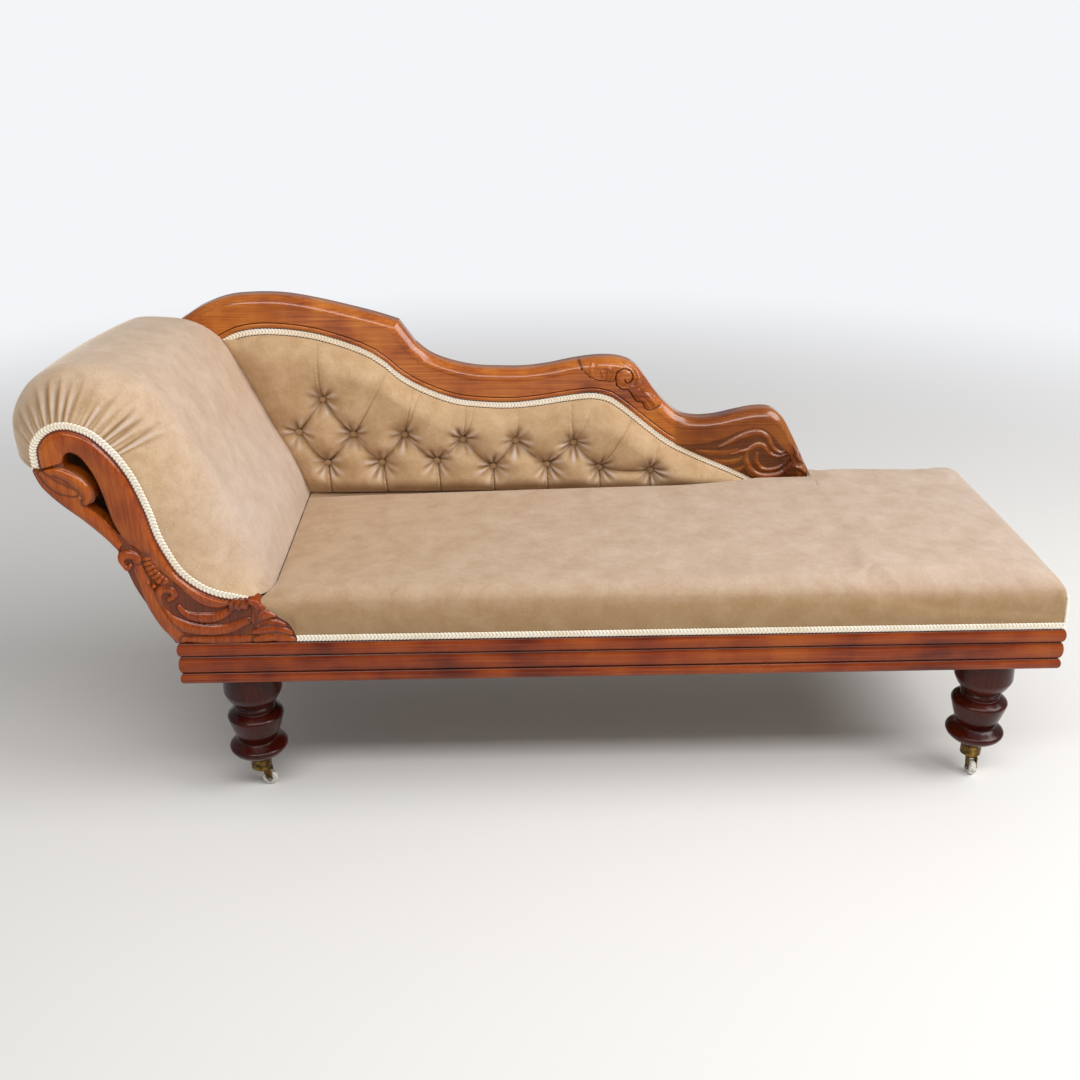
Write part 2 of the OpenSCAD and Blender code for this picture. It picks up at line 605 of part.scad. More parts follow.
module scroll_carving() {
    main_a = beside(braid_line, -gimp_w - wrap_t);
    shown = [for (i = [len(main_a) - 1 : -1 : cuff_rows]) i];
    color(wood) placed() {
        band([for (i = shown) main_a[i]], [for (i = shown) limb_line[i]], board_y,
            limb_section_shares * [[1, 0], [0, carve_h]]);
        band(first_of(lower_curve), second_of(lower_curve), board_y,
            lower_section_shares * [[1, 0], [0, carve_h]]);
        for (path = [big_c_shares, small_c_shares]) {
            line = curve([for (p = path) in_scroll(p)]);
            n = len(line) - 1;
            ridge(line, swell(n, c_w / 2, c_w), swell(n, carve_h / 3, carve_h * 0.9), board_y);
        }
        for (path = fan_shares) {
            line = curve([for (p = path) in_scroll(p)]);
            n = len(line) - 1;
            ridge(line, swell(n, fan_w / 3, fan_w), swell(n, carve_h / 3, carve_h), board_y);
        }
        for (p = bead_shares) boss(in_scroll(p), bead_r, carve_h * 0.8, board_y);
        boss(in_scroll(volute_share), volute_r, carve_h, board_y);
        boss(in_scroll(crown_share), crown_boss_r, carve_h, board_y);
    }
}

// Braid along the scroll
module headrest_gimp() {
    color(braid) placed() upright(board_y - gimp_t, board_y - seat_gap)
        polygon(concat(braid_line, reversed(beside(braid_line, -gimp_w))));
}

// Strip that follows the braid's line between two insets, over part of its points
module strip(inset_a, inset_b, i0, i1) {
    a = beside(braid_line, -inset_a);
    b = beside(braid_line, -inset_b);
    polygon(concat([for (i = [i0 : i1]) a[i]], [for (i = [i1 : -1 : i0]) b[i]]));
}
last_head = len(braid_line) - 1;
lath_count = 6;
lath_places = [for (k = [0 : lath_count - 1]) 3 + round(k * (last_head - 8) / (lath_count - 1))];
lath_span = 3;

module head_laths() {
    color(plain_wood) placed() upright(board_back, back_y) for (i = lath_places)
        strip(lining_inset + lining_t, lining_inset + lining_t + lath_t, i, i + lath_span);
}

module headrest_lining() {
    color(jute) placed() upright(board_back + seat_gap, head_end_y)
        strip(lining_inset, lining_inset + lining_t, 1, last_head - 1);
}

// Cross rails between the two scrolls
head_rail_w = 36;
head_rail_h = 42;
module head_lower_rail() {
    color(plain_wood) placed() translate([reed_d, board_back, rail_top])
        cube([head_rail_w, back_y - board_back, head_rail_h]);
}

module head_seat_rail() {
    x1 = pad_x0 - 2 * seat_gap - wrap_t;
    color(plain_wood) placed() translate([x1 - head_rail_w, board_back, rail_top])
        cube([head_rail_w, back_y - board_back, head_rail_h]);
}

// Headrest pad: the braid's line at the front swells to the full roll, gathered in pleats
pleat_d = 3;
function pad_share(y) = pow(sin(90 * bound((y - board_y) / swell_d, 0, 1)), 0.8);
function pleat(i, y) = (i % 2) * pleat_d * bound((i - 18) / 3, 0, 1)
    * bound(1 - abs((y - board_y) / swell_d - 0.35) / 0.35, 0, 1);
// Over the board the pad's lower end is cut off above the toe, and behind it goes down to the seat
function head_ring(y, inset) = let (s = pad_share(y), n = last_head,
    full = [for (i = [0 : n]) mix(braid_line[i], head_line[i], s)],
    inner = beside(braid_line, -inset),
    end = y > board_back ? full[0] : (inner[0] + full[1]) / 2,
    outer = concat([end], [for (i = [1 : n]) full[i]]),
    drawn = beside(outer, -1))
    concat([for (i = [0 : n]) let (p = mix(outer[i], drawn[i], pleat(i, y))) [p[0], y, p[1]]],
        [for (i = [n : -1 : 0]) [inner[i][0], y, inner[i][1]]]);
module headrest_pad() {
    lip = wrap_t - seat_gap;
    core = lining_inset - seat_gap;
    color(velvet) placed() skin([for (ring = concat(
        [for (s = [0, 0.06, 0.14]) head_ring(board_y + s * swell_d, lip)],
        [for (gaps = [0, 1]) head_ring(board_back + gaps * seat_gap, lip)],
        [head_ring(board_back + 2 * seat_gap, core)],
        [for (s = [0.35, 0.5, 0.7, 1]) head_ring(board_y + s * swell_d, core)],
        [for (t = [0.5, 1]) head_ring(mix(board_y + swell_d, head_end_y, t), core)]))
        reversed(ring)], crescent = true);
}

// Outside cover of the headrest, between the scrolls
module headrest_cover() {
    edge = concat([for (i = [2 : len(heel_line) - 1]) heel_line[i]],
        [for (i = [1 : len(lower_curve) - 2]) first_of(lower_curve)[i]]);
    color(velvet) placed() upright(board_back + seat_gap, head_end_y)
        polygon(concat(beside(edge, 2 * seat_gap), reversed(beside(edge, cover_t))));
}

// Back frame
module back_lower_rail() {
    color(plain_wood) placed() difference() {
        translate([lower_x0, back_y, rail_top]) cube([lower_x1 - lower_x0, back_t, lower_rail_h]);
        for (x = bolt_x) translate([x, bolt_y, rail_top - over])
            cylinder(d = bolt_d + 2 * running_gap, h = bolt_bite + over, $fn = 32);
    }
}

module back_bolts() {
    color(steel) placed() for (x = bolt_x) translate([x, bolt_y, leg_h]) {
        cylinder(d = bolt_d, h = rail_h + bolt_bite - seat_gap, $fn = 32);
        translate([0, 0, -bolt_head_h]) cylinder(d = 2 * bolt_d, h = bolt_head_h, $fn = 6);
    }
}

// Crest rail: its section runs from the rounded top down a flat face to a tacking rabbet
rabbet_w = 25;
quirk_d = 3;
quirk_end_share = 0.62;
crest_step = 3;
function above_seat(p) = [p[0], max(p[1], seat_top + seat_gap)];
function crest_rows(shares) = curve([for (r = shares)
    concat(in_crest([r[0], r[1]]), above_seat(in_crest([r[2], r[3]])))]);
crest_head_rows = concat(crest_rows([for (i = [0 : len(crest_head_shares) - 2])
    crest_head_shares[i]]), [concat(in_crest(first_of(crest_head_shares)[11]),
    in_crest(second_of(crest_head_shares)[11]))]);
crest_foot_rows = crest_rows(crest_foot_shares);
// The rabbet goes on below the face in the line of the section, down to the lower rail at most
steep_share = 0.1;
function rabbet_low(r, drop) = let (a = [r[0], r[1]], b = [r[2], r[3]], d = unit(b - a),
    room = (b[1] - rail_top - lower_rail_h) / max(-d[1], steep_share))
    b + d * min(drop, room);
function crest_ring(r, drop, quirk) = let (a = [r[0], r[1]], b = [r[2], r[3]],
    low = rabbet_low(r, drop),
    section = [[a, seat_d - crest_step], [mix(a, b, 0.03), seat_d]],
    face = [[a, crest_y + crest_round], [mix(a, b, 0.03), crest_y + crest_round / 3],
        [mix(a, b, 0.10), crest_y + crest_round / 12], [mix(a, b, 0.20), crest_y],
        [mix(a, b, 0.74), crest_y], [mix(a, b, 0.78), crest_y + quirk],
        [mix(a, b, 0.97), crest_y + quirk / 2], [b, back_y], [low, back_y],
        [low, seat_d]])
    [for (p = concat(reversed(section), face)) [p[0][0], p[1], p[0][1]]];

// The rabbet is shallow over the scroll's board, and deep at the foot, which stands on the rail
crest_foot_reach = 6;
function head_drop(i) = rabbet_w * bound((i - 2) / 6, steep_share, 1);
function foot_drop(i) = rabbet_w * (i > len(crest_foot_rows) - crest_foot_reach ? 2 : 1);
crest_low_line = [for (i = [0 : len(crest_head_rows) - 1])
    rabbet_low(crest_head_rows[i], head_drop(i))];
foot_low_line = [for (i = [0 : len(crest_foot_rows) - 1])
    rabbet_low(crest_foot_rows[i], foot_drop(i))];

module crest_rail_head() {
    n = len(crest_head_rows) - 1;
    color(wood) placed() skin([for (i = [0 : n])
        crest_ring(crest_head_rows[i], head_drop(i), quirk_d)]);
}

module crest_rail_foot() {
    n = len(crest_foot_rows) - 1;
    color(wood) placed() skin([for (i = [0 : n]) crest_ring(crest_foot_rows[i], foot_drop(i),
        quirk_d * bound(6 * (quirk_end_share - i / n), steep_share, 1))]);
}

// Heights of the crest's underside along its length, for what stands up to it
crest_under = [for (r = concat(crest_head_rows, crest_foot_rows)) [r[2], r[3]]];
function under_z(x) = lookup(x, crest_under);
function low_z(x) = lookup(x, concat(crest_low_line, foot_low_line));
stile_x = [lower_x0, in_crest([0.50, 0])[0], in_crest([0.74, 0])[0]];
stile_steps = 6;
module back_stiles() {
    foot_z = rail_top + lower_rail_h;
    color(plain_wood) placed() upright(back_y, seat_d) for (x = stile_x)
        polygon(concat([[x, foot_z]],
            [for (i = [0 : stile_steps]) let (xi = x + i / stile_steps * stile_w)
                [xi, low_z(xi) - 2 * seat_gap]],
            [[x + stile_w, foot_z]]));
}

// Carvings of the crest rail: a C-scroll with beads and a leaf, and a whirling leaf
scroll_r = 20;
whirl_r = 34;
upper_turn = [200, -130];
end_turn = [150, -300];
leaf_h = 5;
upper_bead_shares = [[0.646, 0.668], [0.660, 0.660], [0.673, 0.640]];
upper_leaf_shares = [[0.716, 0.588], [0.724, 0.556], [0.733, 0.525], [0.745, 0.494]];
end_leaf_shares = [
    [[0.823, 0.346], [0.849, 0.333], [0.875, 0.344], [0.894, 0.370], [0.907, 0.400]],
    [[0.846, 0.300], [0.868, 0.284], [0.887, 0.288], [0.901, 0.313]],
    [[0.872, 0.245], [0.888, 0.237], [0.903, 0.247]]
];
module leaf(shares, w, h) {
    line = curve([for (p = shares) in_crest(p)]);
    n = len(line) - 1;
    ridge(line, swell(n, w / 3, w), swell(n, h / 3, h), crest_y);
}

module crest_carving_upper() {
    n = 14;
    color(wood) placed() {
        ridge(spiral(in_crest([0.699, 0.644]), upper_turn[0], upper_turn[1],
            scroll_r, scroll_r * 0.7, n),
            swell(n, leaf_h / 2, leaf_h), swell(n, leaf_h / 2, leaf_h), crest_y);
        boss(in_crest([0.699, 0.644]), scroll_r * 0.35, leaf_h, crest_y);
        leaf(upper_leaf_shares, leaf_h * 1.8, leaf_h);
        for (p = upper_bead_shares) boss(in_crest(p), leaf_h, leaf_h, crest_y);
    }
}

module crest_carving_end() {
    n = 22;
    color(wood) placed() {
        ridge(spiral(in_crest([0.939, 0.292]), end_turn[0], end_turn[1],
            whirl_r, whirl_r * 0.42, n),
            swell(n, leaf_h / 2, leaf_h * 1.2), swell(n, leaf_h / 2, leaf_h * 1.3), crest_y);
        boss(in_crest([0.939, 0.292]), whirl_r * 0.2, leaf_h * 1.2, crest_y);
        for (p = end_leaf_shares) leaf(p, leaf_h * 1.6, leaf_h);
    }
}

// Region of the tufted back: along the seat, up the headrest and under the crest's braid
back_low_z = seat_top + hessian_t;
back_pad_y = back_y - gimp_t - seat_gap;
back_cols = 50;
back_rows = 18;
back_edge_t = 8;
head_side = beside([for (i = [3 : 21]) head_line[i]], 2 * seat_gap);
function below(r) = [r[2], r[3] - gimp_w - seat_gap];
under_edge = concat([head_side[len(head_side) - 1]],
    [for (i = [8 : len(crest_head_rows) - 1]) below(crest_head_rows[i])],
    [for (i = [1 : len(crest_foot_rows) - 1])
        if (below(crest_foot_rows[i])[1] > back_low_z + back_edge_t) below(crest_foot_rows[i])]);
function along(line, t) = let (k = bound(t, 0, 1) * (len(line) - 1),
    i = min(floor(k), len(line) - 2)) mix(line[i], line[i + 1], k - i);
function back_place(u, v) = let (
    top = along(under_edge, u),
    x0 = along(head_side, 0)[0], x1 = under_edge[len(under_edge) - 1][0],
    low = [mix(x0, x1, u), back_low_z],
    chord = mix([x0, back_low_z], under_edge[0], v),
    side = along(head_side, v))
    mix(low, top, v) + (side - chord) * pow(1 - u, 12);
function to_segment(p, a, b) = let (t = bound((p - a) * (b - a) / pow(norm(b - a), 2), 0, 1))
    norm(p - mix(a, b, t));
buttons = [for (s = button_shares) in_crest(s)];
fold_w = 15;
dimple_w = 22;
fold_d_share = 0.30;
dimple_d_share = 0.70;
function tuft_folds(p) = min(concat(
    [for (f = folds) to_segment(p, buttons[f[0]], buttons[f[1]])],
    [for (i = low_buttons) to_segment(p, buttons[i], [buttons[i][0], back_low_z])],
    [for (i = high_buttons) to_segment(p, buttons[i],
        [buttons[i][0], under_z(buttons[i][0]) - gimp_w])]));
function tuft_dimples(p) = min([for (b = buttons) norm(p - b)]);
function back_pad_depth(p, u, v) = let (
    h = under_z(p[0]) - back_low_z,
    rim = sin(90 * bound(min(v * 8, (1 - v) * 6, u * 14, (1 - u) * 8), 0, 1)),
    full = mix(back_edge_t, back_pad_t, rim))
    full - (full - back_edge_t / 2) * (dimple_d_share * exp(-pow(tuft_dimples(p) / dimple_w, 2))
        + fold_d_share * exp(-pow(tuft_folds(p) / fold_w, 2)));

module back_lining() {
    side = [for (j = [0 : back_rows]) back_place(0, j / back_rows)];
    color(jute) placed() upright(back_y - gimp_t, back_y) polygon(concat(
        side, [for (i = [1 : len(under_edge) - 1]) under_edge[i]],
        [back_place(1, 0)]));
}

module back_pad() {
    grid = [for (j = [0 : back_rows], i = [0 : back_cols])
        let (u = i / back_cols, v = j / back_rows, p = back_place(u, v))
        [p[0], back_pad_y - back_pad_depth(p, u, v), p[1]]];
    w = back_cols + 1;
    rim = concat([for (i = [0 : back_cols]) i],
        [for (j = [1 : back_rows]) j * w + back_cols],
        [for (i = [back_cols - 1 : -1 : 0]) back_rows * w + i],
        [for (j = [back_rows - 1 : -1 : 1]) j * w]);
    n = len(rim);
    back = [for (k = rim) [grid[k][0], back_pad_y, grid[k][2]]];
    // The flat back is closed in strips between its lower and its upper edge
    b = len(grid);
    function up(i) = b + 2 * back_cols + back_rows - i;
    // By the headrest its edge is curved, so a straight row of points stands beside it
    row = [for (j = [1 : back_rows - 1])
        mix(back[1], back[up(1) - b], j / back_rows)];
    function by_head(j) = j == 0 ? b : b + n - j;
    function beside_it(j) = j == 0 ? b + 1 : j == back_rows ? up(1) : b + n + j - 1;
    color(velvet) placed() polyhedron(concat(grid, back, row), concat(
        [for (j = [0 : back_rows - 1], i = [0 : back_cols - 1]) let (k = j * w + i)
            each [[k, k + w + 1, k + 1], [k, k + w, k + w + 1]]],
        [for (k = [0 : n - 1]) let (l = (k + 1) % n)
            each [[rim[k], rim[l], b + l], [rim[k], b + l, b + k]]],
        [for (j = [0 : back_rows - 1])
            [by_head(j), beside_it(j), beside_it(j + 1), by_head(j + 1)]],
        [concat([b + 2, up(2)], [for (j = [back_rows : -1 : 0]) beside_it(j)])],
        [for (i = [2 : back_cols - 2]) [b + i, b + i + 1, up(i + 1), up(i)]],
        [[for (k = [back_cols - 1 : back_cols + back_rows + 1]) b + k]]), convexity = 6);
}

module back_buttons() {
    color(velvet) placed() for (b = buttons)
        translate([b[0], back_pad_y - back_pad_t * 0.30, b[1]]) rotate([90, 0, 0])
            cylinder(d = button_d, h = button_d / 3, $fn = 24);
}

module back_gimp() {
    line = [for (i = [1 : len(under_edge) - 1]) under_edge[i]];
    color(braid) placed() upright(back_y - gimp_t, back_y) polygon(concat(
        [for (p = line) p + [0, seat_gap]], [for (p = reversed(line)) p + [0, gimp_w]]));
}

module back_cover() {
    under = [for (r = concat([for (i = [2 : len(crest_head_rows) - 1]) crest_head_rows[i]],
        [for (i = [1 : len(crest_foot_rows) - 3]) crest_foot_rows[i]])) [r[2], r[3]]];
    color(velvet) placed() upright(seat_d, seat_d + cover_t) polygon(concat(
        [[under[len(under) - 1][0], rail_top], [heel_line[0][0], rail_top]], heel_line,
        [for (i = [1 : len(lower_curve) - 1]) first_of(lower_curve)[i]],
        [for (i = [last_head : -1 : 27]) board_line[i]], under));
}

// Legs, castors and their four places; a castor's angle is where its wheel trails
corners = [
    ["front_left", leg_in_x, leg_in_y, 0],
    ["front_right", seat_l - leg_in_x, leg_in_y, -90],
    ["rear_left", leg_in_x, seat_d - leg_in_y, 180],
    ["rear_right", seat_l - leg_in_x, seat_d - leg_in_y, 0]
];
washer_h = 2.5;
hub_h = 6;
wheel_gap = 2;
hub_z = 2 * wheel_r + wheel_gap + washer_h;
cup_z = hub_z + hub_h + seat_gap;
leg_z = cup_z + brass_t;
leg_len = leg_h - leg_z;
hub_r = pintle_d / 2 + brass_t;

module leg(c) {
    color(wood) placed() translate([c[1], c[2], 0]) {
        translate([0, 0, leg_z]) rotate_extrude($fn = 96) polygon(concat(
            [[0, 0], [cup_r - running_gap, 0], [cup_r - running_gap, leg_shares[0][0] * leg_len]],
            [for (p = curve(leg_shares)) [p[1] * leg_r, p[0] * leg_len]],
            [[0, leg_len]]));
        translate([0, 0, leg_h - over]) cylinder(d = spigot_d, h = spigot_h + over, $fn = 48);
    }
}

// Brass cup that the leg's foot sits in, with the pintle riveted over a washer
module castor_socket(c) {
    color(brass) placed() translate([c[1], c[2], 0]) {
        translate([0, 0, cup_z]) difference() {
            cylinder(r = cup_r + brass_t / 2, h = cup_h, $fn = 64);
            translate([0, 0, brass_t]) cylinder(r = cup_r, h = cup_h, $fn = 64);
        }
        translate([0, 0, hub_z - washer_h]) cylinder(d = pintle_d, h = cup_z - hub_z + washer_h
            + brass_t / 2, $fn = 48);
        translate([0, 0, hub_z - washer_h - seat_gap]) cylinder(r = hub_r, h = washer_h, $fn = 48);
    }
}

// Fork: a hub on the pintle and two arms that carry the axle behind it
module castor_fork(c) {
    arm_y = wheel_w / 2 + seat_gap;
    color(brass) placed() translate([c[1], c[2], 0]) rotate([0, 0, c[3]]) difference() {
        union() {
            translate([0, 0, hub_z]) cylinder(r = hub_r, h = hub_h, $fn = 48);
            translate([0, -arm_y - brass_t, hub_z])
                cube([trail, 2 * (arm_y + brass_t), brass_t]);
            for (side = [-1, 1]) translate([0, side * (arm_y + brass_t / 2), 0])
                rotate([90, 0, 0]) linear_extrude(brass_t, center = true) hull() {
                    translate([trail, wheel_r]) circle(r = axle_d, $fn = 32);
                    translate([trail / 4, hub_z]) square([trail, brass_t]);
                }
        }
        translate([0, 0, hub_z - over])
            cylinder(r = pintle_d / 2 + running_gap, h = hub_h + 2 * over, $fn = 48);
        translate([trail, 0, wheel_r]) rotate([90, 0, 0])
            cylinder(d = axle_d, h = 2 * (arm_y + brass_t + over), center = true, $fn = 48);
    }
}

module castor_wheel(c) {
    color(china) placed() translate([c[1], c[2], 0]) rotate([0, 0, c[3]])
        translate([trail, 0, wheel_r]) rotate([90, 0, 0]) difference() {
            rotate_extrude($fn = 64) polygon([[0, -wheel_w / 2], [wheel_r * 0.86, -wheel_w / 2],
                [wheel_r, -wheel_w / 4], [wheel_r, wheel_w / 4], [wheel_r * 0.86, wheel_w / 2],
                [0, wheel_w / 2]]);
            cylinder(d = axle_d + 2 * running_gap, h = wheel_w + 2 * over, center = true, $fn = 48);
        }
}

module castor_axle(c) {
    arm_y = wheel_w / 2 + seat_gap + brass_t;
    color(steel) placed() translate([c[1], c[2], 0]) rotate([0, 0, c[3]])
        translate([trail, 0, wheel_r]) rotate([90, 0, 0]) {
            cylinder(d = axle_d, h = 2 * arm_y, center = true, $fn = 48);
            for (side = [-1, 1]) translate([0, 0, side * (arm_y + brass_t / 4)])
                cylinder(r = axle_d * 0.8, h = brass_t / 2, center = true, $fn = 48);
        }
}

module leg_front_left() { leg(corners[0]); }
module leg_front_right() { leg(corners[1]); }
module leg_rear_left() { leg(corners[2]); }
module leg_rear_right() { leg(corners[3]); }
module castor_socket_front_left() { castor_socket(corners[0]); }
module castor_socket_front_right() { castor_socket(corners[1]); }
module castor_socket_rear_left() { castor_socket(corners[2]); }
module castor_socket_rear_right() { castor_socket(corners[3]); }
module castor_fork_front_left() { castor_fork(corners[0]); }
module castor_fork_front_right() { castor_fork(corners[1]); }
module castor_fork_rear_left() { castor_fork(corners[2]); }
module castor_fork_rear_right() { castor_fork(corners[3]); }
module castor_wheel_front_left() { castor_wheel(corners[0]); }
module castor_wheel_front_right() { castor_wheel(corners[1]); }
module castor_wheel_rear_left() { castor_wheel(corners[2]); }
module castor_wheel_rear_right() { castor_wheel(corners[3]); }
module castor_axle_front_left() { castor_axle(corners[0]); }
module castor_axle_front_right() { castor_axle(corners[1]); }
module castor_axle_rear_left() { castor_axle(corners[2]); }
module castor_axle_rear_right() { castor_axle(corners[3]); }

front_rail();
foot_rail();
head_rail();
rear_rail();
corner_blocks();
seat_stretchers();
webbing_cross();
webbing_long();
seat_springs();
spring_hessian();
seat_pad();
seat_gimp();
corner_piping();
scroll_front();
scroll_carving();
scroll_rear();
head_laths();
head_lower_rail();
head_seat_rail();
headrest_lining();
headrest_pad();
headrest_cover();
headrest_gimp();
back_lower_rail();
back_stiles();
crest_rail_head();
crest_rail_foot();
crest_carving_upper();
crest_carving_end();
back_lining();
back_pad();
back_buttons();
back_gimp();
back_cover();
back_bolts();
leg_front_left();
leg_front_right();
leg_rear_left();
leg_rear_right();
castor_socket_front_left();
castor_socket_front_right();
castor_socket_rear_left();
castor_socket_rear_right();
castor_fork_front_left();
castor_fork_front_right();
castor_fork_rear_left();
castor_fork_rear_right();
castor_wheel_front_left();
castor_wheel_front_right();
castor_wheel_rear_left();
castor_wheel_rear_right();
castor_axle_front_left();
castor_axle_front_right();
castor_axle_rear_left();
castor_axle_rear_right();
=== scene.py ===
import bmesh
import bpy
import numpy as np
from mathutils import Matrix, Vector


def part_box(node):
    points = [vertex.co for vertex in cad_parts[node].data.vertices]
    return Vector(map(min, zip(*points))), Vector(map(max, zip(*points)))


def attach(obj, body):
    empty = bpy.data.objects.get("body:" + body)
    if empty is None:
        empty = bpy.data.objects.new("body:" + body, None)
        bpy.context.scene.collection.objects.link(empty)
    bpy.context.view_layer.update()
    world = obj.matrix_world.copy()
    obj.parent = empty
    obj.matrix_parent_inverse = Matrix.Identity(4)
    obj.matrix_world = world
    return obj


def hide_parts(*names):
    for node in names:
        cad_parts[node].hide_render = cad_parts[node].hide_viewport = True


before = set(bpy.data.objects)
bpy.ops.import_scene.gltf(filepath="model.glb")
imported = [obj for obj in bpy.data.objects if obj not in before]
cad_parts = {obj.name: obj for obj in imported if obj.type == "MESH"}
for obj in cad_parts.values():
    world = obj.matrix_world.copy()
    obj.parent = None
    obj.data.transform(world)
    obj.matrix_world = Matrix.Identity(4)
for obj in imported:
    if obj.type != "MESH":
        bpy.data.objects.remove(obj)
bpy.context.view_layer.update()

# The view. A camera held a little above the couch and two metres in front of it looks down on
# it, turned slightly towards the foot end, so that the seat's top and the whole front show.
camera_place = (-0.1093, -2.1063, 1.336)
pitch_down, heading = 24.17, 1.96
camera = bpy.data.objects.new("camera", bpy.data.cameras.new("camera"))
camera.data.lens, camera.data.sensor_width = 39.73, 36
camera.location = camera_place
camera.rotation_euler = np.radians([90 - pitch_down, 0, -heading])
bpy.context.scene.collection.objects.link(camera)
bpy.context.scene.camera = camera
bpy.context.scene.view_settings.view_transform = "Standard"

# The floor and the light. A pale plain floor fades into a white surround, one wide soft lamp
# hangs over the couch towards its foot end, and a long strip lamp in front of it draws a line
# of light along the polish.
mm = 0.001


def linear(colour):
    """A hex colour in linear light: a channel c is ((c + 0.055) / 1.055) to the power 2.4,
    or c / 12.92 where it is dark."""
    c = np.array([int(colour[i:i + 2], 16) for i in (1, 3, 5)]) / 255
    return (*np.where(c <= 0.04045, c / 12.92, ((c + 0.055) / 1.055) ** 2.4), 1)


def add(tree, kind, settings=(), links=()):
    """Adds a node: settings are its own properties, the values of its sockets, or the stops of
    its ramp, and links name the output that feeds each socket."""
    node = tree.nodes.new("ShaderNode" + kind)
    for name, value in dict(settings).items():
        if name == "stops":
            ramp = node.color_ramp.elements
            while len(ramp) < len(value):
                ramp.new(1)
            for stop, (place, colour) in zip(ramp, value):
                stop.position, stop.color = place, linear(colour)
        elif isinstance(name, str) and hasattr(node, name):
            setattr(node, name, value)
        else:
            node.inputs[name].default_value = value
    for name, source in dict(links).items():
        tree.links.new(source, node.inputs[name])
    return node


def shown(name, points, faces, *materials, turn=40):
    """A mesh object from points and faces: its faces are turned outwards, and shaded smooth
    except across edges sharper than `turn` degrees."""
    mesh = bpy.data.meshes.new(name)
    mesh.from_pydata(np.reshape(points, (-1, 3)).tolist(), [], faces)
    work = bmesh.new()
    work.from_mesh(mesh)
    bmesh.ops.recalc_face_normals(work, faces=work.faces)
    work.to_mesh(mesh)
    work.free()
    mesh.shade_smooth()
    mesh.set_sharp_from_angle(angle=np.radians(turn))
    for material in materials:
        mesh.materials.append(material)
    piece = bpy.data.objects.new(name, mesh)
    bpy.context.scene.collection.objects.link(piece)
    return piece


def begun(name):
    """A new material, with its tree, its shader and the piece's own coordinates."""
    material = bpy.data.materials.new(name)
    material.use_nodes = True
    tree = material.node_tree
    return (material, tree, tree.nodes["Principled BSDF"],
            add(tree, "TexCoord").outputs["Object"])


floor_half, white_air = 9.0, linear("#F4F5F8")
fade_from, fade_to = 1.5, 4.2
floor_material, tree, shader, place = begun("matt_pale_floor")
shader.inputs["Base Color"].default_value = linear("#ECEAE6")
shader.inputs["Roughness"].default_value = 0.9
distance = add(tree, "VectorMath", {"operation": "LENGTH"}, {0: place})
far = add(tree, "MapRange", {"From Min": fade_from, "From Max": fade_to,
                             "interpolation_type": "SMOOTHSTEP"},
          {"Value": distance.outputs["Value"]})
glow = add(tree, "Emission", {"Color": white_air, "Strength": 1.0})
faded = add(tree, "MixShader", {}, {0: far.outputs[0], 1: shader.outputs[0], 2: glow.outputs[0]})
tree.links.new(faded.outputs[0], tree.nodes["Material Output"].inputs["Surface"])
floor = shown("floor", [(x * floor_half, y * floor_half, 0) for x, y in
                        [(-1, -1), (1, -1), (1, 1), (-1, 1)]], [(0, 1, 2, 3)], floor_material)

world = bpy.data.worlds.new("white_surround")
world.use_nodes = True
tree = world.node_tree
surround = tree.nodes["Background"]
surround.inputs["Color"].default_value = white_air
rays = add(tree, "LightPath")
seen = add(tree, "Math", {"operation": "MAXIMUM"},
           {0: rays.outputs["Is Camera Ray"], 1: rays.outputs["Is Transmission Ray"]})
ambient, plain_white = 0.37, 1.0
strength = add(tree, "MapRange", {"To Min": ambient, "To Max": plain_white},
               {"Value": seen.outputs[0]})
tree.links.new(strength.outputs[0], surround.inputs["Strength"])
bpy.context.scene.world = world

for name, place, aim, length, width, power in [
        ("soft_lamp_over_foot", (3.0, -0.9, 3.2), (-0.2, 0.0, 0.5), 2.4, 2.4, 122),
        ("strip_lamp_front", (0.0, -1.75, 2.75), (0.0, 0.1, 0.5), 3.4, 0.6, 43)]:
    lamp = bpy.data.objects.new(name, bpy.data.lights.new(name, "AREA"))
    lamp.data.shape, lamp.data.energy = "RECTANGLE", power
    lamp.data.size, lamp.data.size_y = length, width
    lamp.location = place
    towards = lamp.location - lamp.location.__class__(aim)
    lamp.rotation_euler = towards.to_track_quat("Z", "Y").to_euler()
    bpy.context.scene.collection.objects.link(lamp)

# The reeded rails. Mahogany, French polished: three rounded reeds run along the front and return
# round both ends, mitred at the corners, with painted shade darkening the quirks between them.
rail_low, rail_high = (np.array(corner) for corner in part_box("front_rail"))
rail_h, rail_t = rail_high[2] - rail_low[2], 32 * mm
rail_top, seat_back = rail_high[2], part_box("rear_rail")[1][1]
seat_l, seat_d = rail_high[0] - rail_low[0], seat_back - rail_low[1]
reed_d = 6 * mm
reed_shares = [0, 0.26, 0.67, 1]
reed_steps = 28


